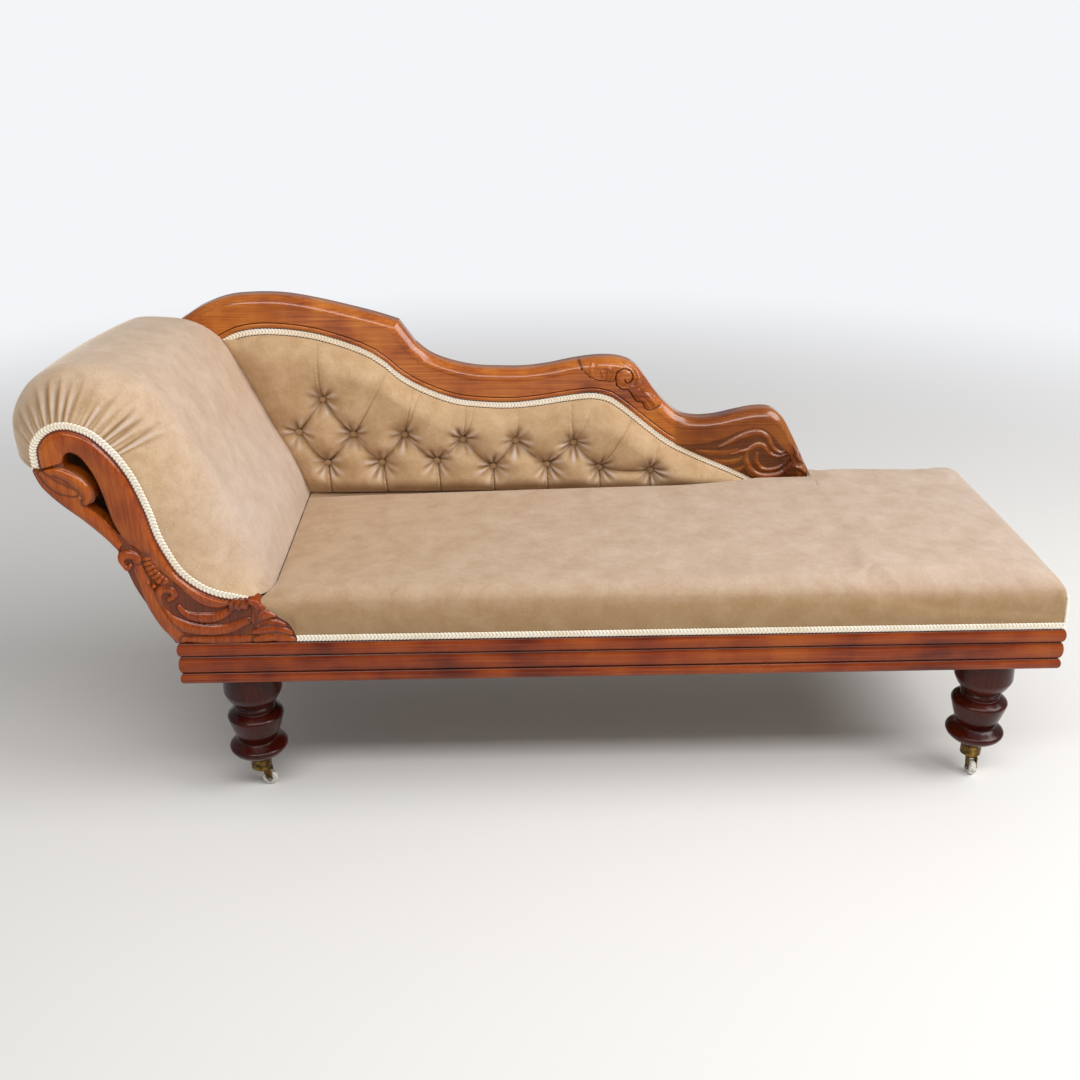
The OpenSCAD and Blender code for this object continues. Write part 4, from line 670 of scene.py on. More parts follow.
for d in depths:
    full = np.sin(np.pi / 2 * min(d / swell_d, 1)) ** 0.8
    behind = max(d - swell_d, 0) / (depths[-1] - swell_d)
    line = fine_braid + (fine_head - fine_braid) * (full * (1 - taper * behind ** 1.7))[:, None]
    fold = np.zeros(len(line))
    lean = np.interp(d / swell_d, [0, 1], [0, pleat_lean])
    for at, high, reach in zip(pleat_at, pleat_high, pleat_reach):
        fade = np.clip(1 - d / (swell_d * reach * 0.75), 0, 1) ** 0.7
        wide = (2.0 + 3.6 * d / swell_d) * mm
        off = (length_along - at - lean * (at - pleat_at.mean()) / pleats_long) / wide
        fold += high * fade * (np.exp(-off ** 2) - 0.5 * np.exp(-(off - 1.7) ** 2)
                               - 0.35 * np.exp(-(off + 1.7) ** 2))
    line = beside(line, -fold)
    rows.append(upright(line, board_y + d))
    # Painted shade in the pleats' valleys, and painted highlight on their crests.
    crush.append(np.clip(-fold / (1.2 * mm), 0, 1) * 0.8)
    ridge.append(np.clip(fold / (1.1 * mm) - 0.3, 0, 1))
rows = np.array(rows)
thickness = np.interp(depths, [0, 20 * mm, 26 * mm], [2.7 * mm, 2.7 * mm, 11.5 * mm])
inner = np.array([upright(beside(fine_braid, -t), board_y + d)[::-1]
                  for d, t in zip(depths, thickness)])
ring = np.concatenate([rows, inner], axis=1)
headrest = shown("headrest_velvet", *surface(ring, around=True, ends=True), velvet, turn=60)
# Paler higher up and back from the front face: painted light on the top of the roll, with some
# wear.
worn = np.interp(ring[..., 2], rail_top + np.array([90, 200, 330]) * mm, [0.9, 1, 0.6])
worn *= np.clip((ring[..., 1] - face_y) / (90 * mm), 0.2, 1)
crush, ridge = (np.concatenate([v, np.zeros(inner.shape[:2])], axis=1) for v in (crush, ridge))
marked(headrest, crush=crush, worn=np.maximum(worn, ridge))
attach(headrest, "frame")
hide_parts("headrest_pad")

# The outside covers. The same velvet, stretched flat over the back of the headrest and the back
# of the tufting, and tacked to the frame all round.
dressed(["headrest_cover", "back_cover"], velvet)

# The braid of the headrest. Cream rayon gimp, two rows of loops with scalloped edges, glued over
# the tacks along the scroll; the same braid runs under the crest rail and round the seat.
braid, tree, shader, place = begun("rayon_gimp_cream")
yarn = add(tree, "TexNoise", {"Scale": 900, "Detail": 3}, {"Vector": place})
soil = add(tree, "TexNoise", {"Scale": 14, "Detail": 4}, {"Vector": place})
both = add(tree, "Mix", {"data_type": "FLOAT", 0: 0.6},
           {2: yarn.outputs[0], 3: soil.outputs[0]})
colour = add(tree, "ValToRGB", {"stops": [(0.32, "#EBDCC0"), (0.5, "#F9F0DC"),
                                          (0.68, "#FFFAF0")]}, {0: both.outputs[0]})
# Painted shade: the hollows between the braid's loops are darkened to a brown beige.
wax = add(tree, "Attribute", {"attribute_name": "wax"})
between = add(tree, "Mix", {"data_type": "RGBA", "blend_type": "MIX", 7: linear("#B89A70")},
              {0: wax.outputs["Fac"], 6: colour.outputs[0]})
tree.links.new(between.outputs[2], shader.inputs["Base Color"])
bump = add(tree, "Bump", {"Strength": 0.4, "Distance": 0.3 * mm}, {"Height": yarn.outputs[0]})
tree.links.new(bump.outputs[0], shader.inputs["Normal"])
shader.inputs["Roughness"].default_value = 0.62
shader.inputs["Sheen Weight"].default_value = 0.3
gimp_t, loop_l, gimp_step, gimp_columns = 2.2 * mm, 6.4 * mm, 0.8 * mm, 15


def gimp(name, line, across, node):
    """A braid laid along a line in space: `across` points over its width, and its height above
    the ground is 0.45 + 0.55 sin^2(pi (s / loop + 0.55 |v|)) of its thickness, falling off at
    the edges, where s runs along it and v from -1 to 1 across. Its edges are scalloped."""
    step = np.linalg.norm(np.diff(line, axis=0), axis=1)
    s = np.concatenate([[0], np.cumsum(step)])
    even = np.arange(0, s[-1], gimp_step)
    line = np.column_stack([np.interp(even, s, line[:, k]) for k in range(3)])
    across = np.column_stack([np.interp(even, s, across[:, k]) for k in range(3)])
    across /= np.linalg.norm(across, axis=1)[:, None]
    out = np.cross(np.gradient(line, axis=0), across)
    out /= np.linalg.norm(out, axis=1)[:, None]
    v = np.linspace(-1, 1, gimp_columns)
    wave = np.sin(np.pi * (even[:, None] / loop_l + 0.55 * np.abs(v))) ** 2
    edge = 0.86 + 0.14 * np.sin(np.pi * (even / loop_l + 0.55)) ** 2
    high = gimp_t * (0.45 + 0.55 * wave * (1 - 0.6 * (v == 0))) * (1 - np.abs(v) ** 8) + 0.2 * mm
    place = 0.5 + 0.5 * v * edge[:, None]
    top = (line[:, None] + across[:, None] * (place * gimp_w)[..., None]
           + out[:, None] * high[..., None])
    under = line[:, None] + across[:, None] * (place[:, ::-7] * gimp_w)[..., None]
    ring = np.concatenate([top, under], axis=1)
    piece = shown(name, *surface(ring, around=True, ends=True), braid, turn=60)
    # Painted shade between the loops, none on the underside.
    shade_between = np.concatenate([0.5 * (1 - wave) ** 3, np.zeros(under.shape[:2])], axis=1)
    marked(piece, wax=shade_between)
    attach(piece, "frame")
    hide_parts(node)


gimp("headrest_gimp_braid", upright(fine_braid, board_y - 0.3 * mm),
     upright(beside(fine_braid, -gimp_w) - fine_braid, 0), "headrest_gimp")

# The crest rail. Mahogany in two lengths joined at its sharp bend: a rounded top edge, a flat
# face, and a bead over the braid behind a quirk. At the foot the bead turns up under the round
# edge, and two leaf scrolls are carved from the solid.
crest_l, crest_out, crest_h = 1340 * mm, 118 * mm, 486 * mm
crest_y = seat_back - 46 * mm
back_y, seat_top = seat_back - 40 * mm, rail_top + 70.3 * mm


def in_crest(shares):
    """Length and height in metres of shares of the crest rail's own box."""
    return np.asarray(shares, float) * [crest_l, crest_h] + [rail_low[0] - crest_out, rail_top]


crest_head_shares = [
    [0.007, 0.830, 0.012, 0.815], [0.024, 0.872, 0.036, 0.774],
    [0.046, 0.912, 0.060, 0.715], [0.073, 0.955, 0.082, 0.790],
    [0.110, 0.990, 0.118, 0.846], [0.151, 1.000, 0.151, 0.864],
    [0.193, 0.996, 0.189, 0.862], [0.237, 0.975, 0.230, 0.846],
    [0.284, 0.944, 0.267, 0.817], [0.327, 0.912, 0.297, 0.786],
    [0.359, 0.883, 0.316, 0.761], [0.383, 0.790, 0.336, 0.722]]
crest_foot_shares = [
    [0.383, 0.790, 0.336, 0.722], [0.404, 0.743, 0.360, 0.663],
    [0.434, 0.708, 0.394, 0.609], [0.472, 0.685, 0.439, 0.562],
    [0.510, 0.679, 0.484, 0.545], [0.548, 0.679, 0.528, 0.541],
    [0.585, 0.691, 0.569, 0.551], [0.623, 0.712, 0.610, 0.568],
    [0.661, 0.724, 0.649, 0.578], [0.692, 0.718, 0.674, 0.564],
    [0.715, 0.691, 0.689, 0.539], [0.731, 0.640, 0.704, 0.508],
    [0.747, 0.578, 0.721, 0.469], [0.768, 0.512, 0.741, 0.424],
    [0.790, 0.467, 0.766, 0.372], [0.816, 0.453, 0.793, 0.331],
    [0.846, 0.459, 0.823, 0.292], [0.875, 0.477, 0.857, 0.251],
    [0.905, 0.492, 0.887, 0.212], [0.931, 0.488, 0.913, 0.175],
    [0.950, 0.449, 0.931, 0.156], [0.965, 0.381, 0.950, 0.147],
    [0.980, 0.302, 0.969, 0.147], [1.000, 0.195, 0.993, 0.147]]
top_edge = np.array([[0, -17], [0.6, -14.2], [1.6, -12], [3, -10], [4.8, -8.2], [6.8, -6.5],
                     [9, -4.7], [11, -3.2], [13, -1.9], [14.6, -1], [16, -0.4], [17.4, -0.1],
                     [19, 0], [21.5, -0.2], [24.5, -0.8]]) * mm
quirk = np.array([[14.5, -0.9], [13, -0.6], [12.4, -1.0], [12, -3.2], [11.4, -3.4], [10.9, -1.8],
                  [10.2, -0.5], [8.6, 0.3], [6.6, 0.5], [4.6, 0.1], [3, -0.8], [1.6, -2.2],
                  [0.5, -4.2], [0, -5.7]]) * mm
full_section, flat_in, sunk_in = 42 * mm, 0.9 * mm, 3.2 * mm
ground_shares = [[0.766, 0.350], [0.7823, 0.349], [0.8083, 0.3467], [0.8341, 0.3534],
                 [0.8595, 0.3767], [0.8848, 0.406], [0.9051, 0.4188], [0.9198, 0.4124],
                 [0.932, 0.386], [0.944, 0.350], [0.957, 0.305], [0.970, 0.255], [0.980, 0.200],
                 [0.985, 0.120], [0.900, 0.100], [0.830, 0.230], [0.780, 0.310]]
upper_strokes = [
    ([[0.6584, 0.6999], [0.6545, 0.6823], [0.6494, 0.6502]], [2.5, 4, 2], 3.2),
    ([[0.6490, 0.7051], [0.6475, 0.6824], [0.6494, 0.6502]], [2.5, 4, 2], 3.0),
    ([[0.6644, 0.6713], [0.6664, 0.6462]], [3, 2], 3.0),
    ([[0.6756, 0.6817], [0.6722, 0.6425]], [4, 2], 3.4),
    ([[0.6833, 0.6708], [0.6773, 0.6352]], [3, 2], 3.0),
    ([[0.6983, 0.7060], [0.7107, 0.6960], [0.7190, 0.6690], [0.7220, 0.6376], [0.7175, 0.6053],
      [0.7090, 0.5900]], [3, 5, 5.5, 5.5, 6, 5], 3.6),
    ([[0.7110, 0.6000], [0.7215, 0.5830], [0.7301, 0.5651]], [6, 6, 2], 3.4),
    ([[0.7100, 0.5880], [0.7215, 0.5600], [0.7330, 0.5396]], [6, 6, 2], 3.6),
    ([[0.7110, 0.5850], [0.7290, 0.5480], [0.7397, 0.5138]], [6, 7, 2], 3.8),
    ([[0.7130, 0.5900], [0.7350, 0.5560], [0.7471, 0.5300]], [6, 7, 3], 3.4),
    ([[0.7200, 0.5900], [0.7430, 0.5500], [0.7549, 0.5200]], [4, 5, 2], 2.6)]
upper_grooves = [
    ([[0.6877, 0.6097], [0.6856, 0.6421], [0.6884, 0.6671], [0.6983, 0.6812], [0.7080, 0.6702],
      [0.7118, 0.6451], [0.7085, 0.6250], [0.7028, 0.6201], [0.6993, 0.6346]], 1.6, 3.4),
    ([[0.6877, 0.6097], [0.6960, 0.5930], [0.7060, 0.5890], [0.7136, 0.5583], [0.7190, 0.5399],
      [0.7280, 0.5346], [0.7321, 0.5103], [0.7399, 0.4991], [0.7487, 0.5098],
      [0.7560, 0.5192]], 1.5, 2.6),
    ([[0.6289, 0.7200], [0.6310, 0.7020], [0.6340, 0.6790]], 3.2, 2.2),
    ([[0.6380, 0.6700], [0.6494, 0.6420], [0.6600, 0.6330], [0.6722, 0.6300], [0.6800, 0.6250],
      [0.6850, 0.6421]], 1.2, 1.8)]
disc_share, disc_r, disc_h = [0.6987, 0.6418], 15 * mm, 3.4 * mm
end_strokes = [
    ([[0.8502, 0.3318], [0.8704, 0.3576], [0.8930, 0.3850], [0.9110, 0.3940], [0.9246, 0.3748],
      [0.9337, 0.3292], [0.9476, 0.3022], [0.9590, 0.3133]], [2, 6, 9, 9, 7, 6, 5, 2], 7.5),
    ([[0.8700, 0.2950], [0.8820, 0.3081], [0.8949, 0.3153], [0.9100, 0.3375], [0.9219, 0.3296],
      [0.9308, 0.2980], [0.9455, 0.2832], [0.9620, 0.3018]], [2, 4, 6, 8, 7, 6, 5, 2], 7.0),
    ([[0.8949, 0.3053], [0.8948, 0.2696], [0.9026, 0.2233], [0.9192, 0.1957], [0.9403, 0.1950],
      [0.9556, 0.2138], [0.9649, 0.2520], [0.9650, 0.2903]], [3, 7, 8, 8, 8, 7, 5, 2], 7.5),
    ([[0.9110, 0.2996], [0.9108, 0.2614], [0.9196, 0.2300], [0.9343, 0.2230], [0.9497, 0.2380],
      [0.9592, 0.2675]], [3, 6, 6, 6, 5, 2], 7.0),
    ([[0.8150, 0.3180], [0.8400, 0.3060], [0.8640, 0.3080], [0.8800, 0.3200]], [2, 6, 6, 2], 4.5),
    ([[0.8450, 0.2700], [0.8620, 0.2620], [0.8800, 0.2700], [0.8880, 0.2850]], [3, 6, 6, 2], 4.5),
    ([[0.8750, 0.2250], [0.8850, 0.2280], [0.8930, 0.2450]], [3, 5, 2], 4.0),
    ([[0.9680, 0.3300], [0.9740, 0.3000], [0.9780, 0.2669]], [2, 5, 2], 5.0),
    ([[0.9700, 0.2900], [0.9800, 0.2700], [0.9870, 0.2500]], [2, 5, 2], 5.0),
    ([[0.9690, 0.2400], [0.9840, 0.2250], [0.9930, 0.2000]], [3, 6, 2], 5.0),
    ([[0.9560, 0.1850], [0.9750, 0.1800], [0.9930, 0.1700]], [3, 6, 3], 4.5)]


def crest_relief(points):
    """Height of the carving over the moulded face, and the painted shade in its hollows: strokes
    are ridges, cut off from their ground by grooves, and the foot's ground lies below the face."""
    gap = to_line(points, np.vstack([in_crest(ground_shares), in_crest(ground_shares[:1])]))[0]
    sunk = inside(points, in_crest(ground_shares)) * np.clip(gap / (1.6 * mm), 0, 1)
    height = -sunk_in * sunk
    # Painted shade on the sunk ground, in the grooves and along the rim of the ground.
    wax = 0.75 * sunk
    for strokes in (upper_strokes, end_strokes):
        most = np.zeros(len(points))
        for shares, widths, high in strokes:
            ridge = raised(points, smooth_line(in_crest(shares), line_steps),
                           np.array(widths) * mm, [high * mm] * 2, 0.7)
            most = np.maximum(most, ridge)
        height += most
        wax = np.where(most > 1.2 * mm, 0.25 * wax, wax)
    disc = np.linalg.norm(points - in_crest(disc_share), axis=1) / disc_r
    height = np.maximum(height, disc_h * np.clip(1 - disc ** 2, 0, 1) ** 0.5)
    for shares, width, deep in upper_grooves:
        cut = raised(points, smooth_line(in_crest(shares), line_steps), [width * mm] * 2,
                     [1, 1], 1)
        height -= deep * mm * cut
        wax = np.maximum(wax, 0.9 * cut)
    rim = np.clip(1 - gap / (1.5 * mm), 0, 1)
    return height, np.maximum(wax, 0.7 * rim)


def crest_part(name, rows, middle, carving, nodes):
    """One length of the crest rail. Each row gives the place of the top and of the bottom edge;
    columns stand at set distances below the top edge and above the bottom one, and at `middle`
    even places between them."""
    a, b = rows[:, :2], rows[:, 2:].copy()
    b[:, 1] = np.maximum(b[:, 1], seat_top + 0.3 * mm)
    length = np.linalg.norm(b - a, axis=1)
    along = (b - a) / length[:, None]
    fit = np.minimum(1, length / full_section)[:, None]
    down, up = top_edge[:, 0] * fit, length[:, None] - quirk[:, 0] * fit
    t = np.linspace(0, 1, middle + 2)[1:-1]
    between = down[:, -1:] + (up[:, :1] - down[:, -1:]) * t
    depth = np.concatenate([top_edge[:, 1] * fit, np.full(between.shape, -flat_in),
                            quirk[:, 1] * np.ones(fit.shape)], axis=1)
    reach = np.concatenate([down, between, up], axis=1)
    face = a[:, None] + along[:, None] * reach[..., None]
    wax, first_up = np.zeros(reach.shape), len(top_edge) + middle
    # Painted shade in the quirk and along the bottom edge over the braid.
    wax[:, first_up + 3:first_up + 6] = 0.8
    wax[:, -3:] = 0.5
    if carving:
        flat = face.reshape(-1, 2)
        height, carved_shade = (v.reshape(reach.shape) for v in crest_relief(flat))
        turned_up = np.clip((face[..., 0] - in_crest([0.775, 0])[0]) / (12 * mm), 0, 1)
        low = np.arange(reach.shape[1]) >= first_up
        depth[:, low] = (depth * (1 - turned_up) - flat_in * turned_up)[:, low]
        wax[:, low] *= (1 - turned_up)[:, low]
        # Painted shade over the carved foot as a whole.
        wax = np.maximum(wax, 0.4 * turned_up)
        keep = np.clip(reach / (5 * mm), 0, 1)
        depth, wax = depth + height * keep, np.maximum(wax, carved_shade)
    front = np.stack([face[..., 0], crest_y - depth, face[..., 1]], -1)
    back = np.stack([
        np.column_stack([b[:, 0], np.full(len(b), back_y), b[:, 1]]),
        np.column_stack([b[:, 0], np.full(len(b), seat_back), b[:, 1]]),
        np.column_stack([a[:, 0], np.full(len(b), seat_back), a[:, 1] - 3 * mm]),
        np.column_stack([a[:, 0], np.full(len(b), seat_back - 3 * mm), a[:, 1]])], 1)
    piece = shown(name, *surface(np.concatenate([front, back], 1), around=True, ends=True),
                  crest_wood, turn=50)
    marked(piece, wax=np.concatenate([wax, np.zeros(back.shape[:2])], 1))
    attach(piece, "frame")
    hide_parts(*nodes)


# Painted light: the crest's tones are lighter than the rails', for the light on the top rail, as
# well as warmer in hue.
crest_wood = polished("mahogany_french_polished_warm_and_lit", 0, ("#702C0E", "#AC5A1A", "#CA7E30"),
                      0.2, 0.6)
row_steps = 24
bend = np.linspace(crest_head_shares[-2], crest_head_shares[-1], row_steps)[1:]
head_rows = np.vstack([smooth_line(crest_head_shares[:-1], row_steps), bend])
foot_rows = smooth_line(crest_foot_shares, row_steps)
head_rows, foot_rows = (np.column_stack([in_crest(r[:, :2]), in_crest(r[:, 2:])])
                        for r in (head_rows, foot_rows))
crest_part("crest_moulded_head", head_rows, 12, False, ["crest_rail_head"])
crest_part("crest_carved_foot", foot_rows, 62, True,
           ["crest_rail_foot", "crest_carving_upper", "crest_carving_end"])

# The tufted back. Velvet over horsehair, a full pad with rounded edges, drawn in by covered
# buttons: a fold runs from each button to its neighbours, upright pleats lead up to the braid
# and down behind the seat, and the velvet puckers round every button.
back_low_z, back_pad_y = seat_top + 2 * mm, back_y - 2.8 * mm
edge_t, back_pad_t, pad_least = 8 * mm, 40 * mm, 1.5 * mm
sink_w, sink_far, fold_w, fold_share = 22 * mm, 36 * mm, 11 * mm, 0.48
round_top, round_low, full_from, pucker_h, pucker_r = 40 * mm, 62 * mm, 90 * mm, 2.4 * mm, 17
side_shares = [row[2:] for row in head_shares[1:11]] + [[0.523, 0.996]]
head_side = smooth_line(beside(smooth_line(in_scroll(side_shares), 2)[1:], 0.6 * mm), 6)
below = np.vstack([head_rows[:, 2:], foot_rows[1:, 2:]])
below[:, 1] -= gimp_w + 0.3 * mm
below = below[below[:, 1] > back_low_z + 2.5 * mm]
gimp_edge = below[below[:, 0] > head_rows[3 * row_steps, 2]]
under_edge = np.vstack([head_side[-1:], below[below[:, 0] > head_rows[4 * row_steps, 2]]])
button_shares = [
    [0.241, 0.568],
    [0.201, 0.424], [0.284, 0.412], [0.362, 0.409], [0.451, 0.385], [0.533, 0.377],
    [0.622, 0.366],
    [0.241, 0.286], [0.325, 0.284], [0.410, 0.290], [0.497, 0.261], [0.581, 0.267],
    [0.663, 0.251], [0.743, 0.235]]
folds = [(0, 1), (0, 2), (1, 7), (7, 2), (2, 8), (8, 3), (3, 9), (9, 4), (4, 10), (10, 5),
         (5, 11), (11, 6), (6, 12), (12, 13)]
pleat_shares = [
    ([[0.241, 0.568], [0.239, 0.696], [0.239, 0.809]], 1.0),
    ([[0.284, 0.412], [0.315, 0.565], [0.341, 0.693]], 0.9),
    ([[0.362, 0.409], [0.371, 0.529], [0.378, 0.607]], 0.8),
    ([[0.362, 0.409], [0.379, 0.538], [0.392, 0.605]], 0.7),
    ([[0.451, 0.385], [0.456, 0.505], [0.453, 0.570]], 0.8),
    ([[0.451, 0.385], [0.465, 0.483], [0.471, 0.555]], 0.7),
    ([[0.533, 0.377], [0.536, 0.481], [0.536, 0.545]], 0.6),
    ([[0.622, 0.366], [0.617, 0.500], [0.621, 0.585]], 0.9),
    ([[0.622, 0.366], [0.637, 0.456], [0.648, 0.523]], 0.5),
    ([[0.663, 0.251], [0.688, 0.374], [0.712, 0.468]], 0.9),
    ([[0.743, 0.235], [0.749, 0.313], [0.757, 0.364]], 0.7)]
low_pleats = [([[x, z], [x + lean, z - 0.07], [x + lean, 0.140]], 1.8) for (x, z), lean in
              zip(button_shares[7:], [0.004, 0.006, 0.004, 0.001, 0.0, 0.0, -0.001])]
buttons = in_crest(button_shares)


def along_line(line, t):
    """Points at shares t of a line's length."""
    s = np.concatenate([[0], np.cumsum(np.linalg.norm(np.diff(line, axis=0), axis=1))])
    return np.column_stack([np.interp(t * s[-1], s, line[:, k]) for k in (0, 1)])


columns, levels = 430, 150
u, v = np.linspace(0, 1, columns), np.linspace(0, 1, levels)
upper, by_head = along_line(under_edge, u), along_line(head_side, v)
lower = np.column_stack([by_head[0, 0] + (upper[-1, 0] - by_head[0, 0]) * u,
                         np.full(len(u), back_low_z)])
chord = by_head[0] + (upper[0] - by_head[0]) * v[:, None]
flat = (lower[:, None] + (upper - lower)[:, None] * v[:, None]
        + (by_head - chord) * (1 - u[:, None, None]) ** 12)
points = flat.reshape(-1, 2)
rise = np.ones((columns, levels))
tall = (upper[:, 1] - lower[:, 1])[:, None]
swollen = np.clip(tall[:, 0] / full_from, 0, 1) ** 1.3
for share in [v * tall / round_top, (1 - v) * tall / round_low, u[:, None] * 14]:
    rise = rise * np.sin(np.pi / 2 * np.clip(share, 0, 1)) ** 0.8
full = (edge_t + (back_pad_t - edge_t) * rise).ravel()
near_button = np.min([np.linalg.norm(points - b, axis=1) for b in buttons], axis=0)
sink = 0.70 * np.exp(-(near_button / sink_w) ** 2) + 0.20 * np.exp(-near_button / sink_far)
crease = np.zeros(len(points))
for first, last in folds:
    gap = to_line(points, buttons[[first, last]])[0]
    crease = np.maximum(crease, np.exp(-gap / fold_w))
depth = full - (full - edge_t / 2) * np.clip(sink + fold_share * crease * (1 - sink), 0, 0.88)
# Painted shade in the creases, round each button and in the pleats' valleys.
shade = 0.7 * crease ** 4 + 0.8 * np.exp(-(near_button / fold_w) ** 2)
for shares, strength in pleat_shares + low_pleats:
    path = smooth_line(in_crest(shares), line_steps)
    gap, t, nearest = to_line(points, path)
    fade = strength * (0.35 + 0.65 * np.clip(1 - t, 0, 1) ** 0.8)
    off = np.sign(points[:, 0] - nearest[:, 0]) * gap / mm
    depth += fade * mm * (2.6 * np.exp(-((off + 2.2) / 2.4) ** 2)
                          - 3.4 * np.exp(-((off - 0.8) / 1.5) ** 2)
                          - 1.5 * np.exp(-((off - 2.0) / 6.0) ** 2))
    shade = np.maximum(shade, 0.75 * fade * np.exp(-((off - 0.9) / 1.3) ** 2))
pale = np.zeros(len(points))
pucker_rng = np.random.default_rng(11)
for b in buttons:
    away = points - b
    r, angle = np.linalg.norm(away, axis=1) / mm, np.arctan2(away[:, 1], away[:, 0])
    count, phase = pucker_rng.integers(7, 10), pucker_rng.uniform(0, 6.28)
    wave = (np.cos(count * angle + phase) + 0.6 * np.cos((count + 4) * angle - 2 * phase)
            ) * np.exp(-((r - pucker_r) / 14) ** 2) * (0.75 + 0.35 * np.cos(angle - 2 * phase))
    depth += pucker_h * wave
    shade = np.maximum(shade, 0.7 * np.clip(-wave, 0, 1))
    # Painted highlight on the crests of the puckers.
    pale = np.maximum(pale, np.clip(1.6 * wave, 0, 1) * np.clip(r / 8 - 0.6, 0, 1))
depth = np.clip(depth, pad_least, back_pad_t)
front = np.column_stack([points[:, 0], back_pad_y - depth, points[:, 1]])
front = front.reshape(columns, levels, 3)
behind = front[:, [-1, 0]].copy()
behind[..., 1] = back_pad_y
tufted = shown("back_tufted_velvet",
               *surface(np.concatenate([front, behind], 1), around=True, ends=True), velvet,
               turn=80)
shade, pale = (np.pad(state.reshape(columns, levels), ((0, 0), (0, 2)))
               for state in (shade, pale))
marked(tufted, crush=shade, worn=pale)
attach(tufted, "frame")
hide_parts("back_pad")

# The buttons. Low metal shells, pressed over with the same velvet; twine through the pad and the
# lining behind it draws each one deep into the stuffing.
angle = np.linspace(0, 2 * np.pi, 28, endpoint=False)
button_r, button_h, button_base = 7 * mm, 4 * mm, back_pad_y - 7.5 * mm
swing = np.linspace(0, np.pi / 2, 8)
radius = np.concatenate([[button_r * 0.8], button_r * np.cos(swing[:-1]), [0.2 * mm]])
height = np.concatenate([[0], 0.25 * button_h + 0.75 * button_h * np.sin(swing[:-1]),
                         [button_h]])
points, faces = [], []
for b in buttons:
    grid = np.stack([b[0] + np.outer(radius, np.cos(angle)),
                     np.broadcast_to((button_base - height)[:, None], (len(radius), len(angle))),
                     b[1] + np.outer(radius, np.sin(angle))], -1)
    some, quads = surface(grid, around=True, ends=True)
    faces += [[k + len(points) * len(some) for k in quad] for quad in quads]
    points.append(some)
covered = shown("buttons_velvet_covered", np.array(points), faces, velvet, turn=70)
# Painted shade: the buttons are darkened as they lie deep in the pits.
marked(covered, crush=np.full(len(covered.data.vertices), 0.4))
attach(covered, "frame")
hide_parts("back_buttons")

# The braid of the back. The same gimp, glued over the tacks of the tufting; it runs close under
# the crest rail, from the headrest to the crest's foot.
under_crest = along_line(gimp_edge, np.linspace(0, 1, 900))
gimp("back_gimp_braid", upright(under_crest + [0, 0.4 * mm], back_y - 2 * mm),
     upright(beside(under_crest, -1.0) - under_crest, 0), "back_gimp")

# The seat. The same velvet, stuffed with horsehair over the springs: boxed sides stand on the
# rail, and the top rolls over them and rises a little towards the foot. At the head its front is
# fitted to the toe of the scroll, and at the back it passes under the tufting.
pad_z, pad_x0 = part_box("seat_pad")[0][2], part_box("seat_pad")[0][0]
pad_side, side_h = 5 * mm, seat_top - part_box("seat_pad")[0][2]
pad_front, pad_rear = face_y + pad_side + 1 * mm, seat_back - pad_side
pad_x1, pad_behind = rail_high[0] - pad_side, board_y + board_t + 0.3 * mm
roll_h, roll_w, crown, bulge = 26 * mm, 44 * mm, 12 * mm, 3.5 * mm
head_dip, crown_from, head_rise, under_board_h = 2.2, 250 * mm, 120 * mm, 4 * mm
step_x = in_scroll([1, 0])[0] + 0.3 * mm
crest_end_x, wall_y = in_crest(crest_foot_shares[-1][2:])[0] + 0.6 * mm, back_y - 0.6 * mm
ledge_line = beside(toe_line, -0.6 * mm)


def seat_height(x, y):
    """Height of the full top over the boxed sides: roll_h, and a crown that grows as a sine
    from the front and as 1 - dip (1 - u)^2 along the length u."""
    u = (x - pad_x0) / (pad_x1 - pad_x0)
    across = np.sin(np.pi / 2 * np.clip((y - pad_front) / crown_from, 0, 1))
    return roll_h + crown * (1 - head_dip * (1 - u) ** 2) * across


def quarter(share):
    """Height of a quarter ellipse at a share of its width: (1 - (1 - share)^2)^0.5."""
    return np.sqrt(np.clip(1 - (1 - np.clip(share, 0, 1)) ** 2, 0, 1))


def corner_r(t):
    """Radius of the corners in plan: 3 mm at the braid, and up to 15 mm at the top of the side,
    at the share t of its height."""
    return (3 + 12 * np.clip((t - 0.2) / 0.8, 0, 1) ** 1.5) * mm


def corner_in(x, t):
    """How far the side stands in where the corner turns: r - (r^2 - (x - x1 + r)^2)^0.5."""
    r = corner_r(t)
    return r - np.sqrt(np.clip(r ** 2 - np.clip(x - pad_x1 + r, 0, r) ** 2, 0, None))


side_steps, foot_steps = 14, 6
side_t, down_back = np.linspace(0, 1, side_steps), np.arange(1, side_steps)
side_out = bulge * np.sin(np.pi * np.clip((side_t - 0.2) / 0.8, 0, 1)) ** 0.8
roll_t, mid_t = 1 - np.cos(np.linspace(0, np.pi / 2, 10))[1:-1], np.linspace(0, 1, 84)
turn_x = pad_x1 - roll_w * (1 - np.sin(np.linspace(0, np.pi / 2, 16)))
stations = np.concatenate([
    np.linspace(pad_x0, ledge_line[-1, 0], 20), [step_x, step_x + 1 * mm],
    np.linspace(step_x + 6 * mm, crest_end_x - 0.6 * mm, 176),
    np.linspace(crest_end_x, turn_x[0], 48)[:-1], turn_x])
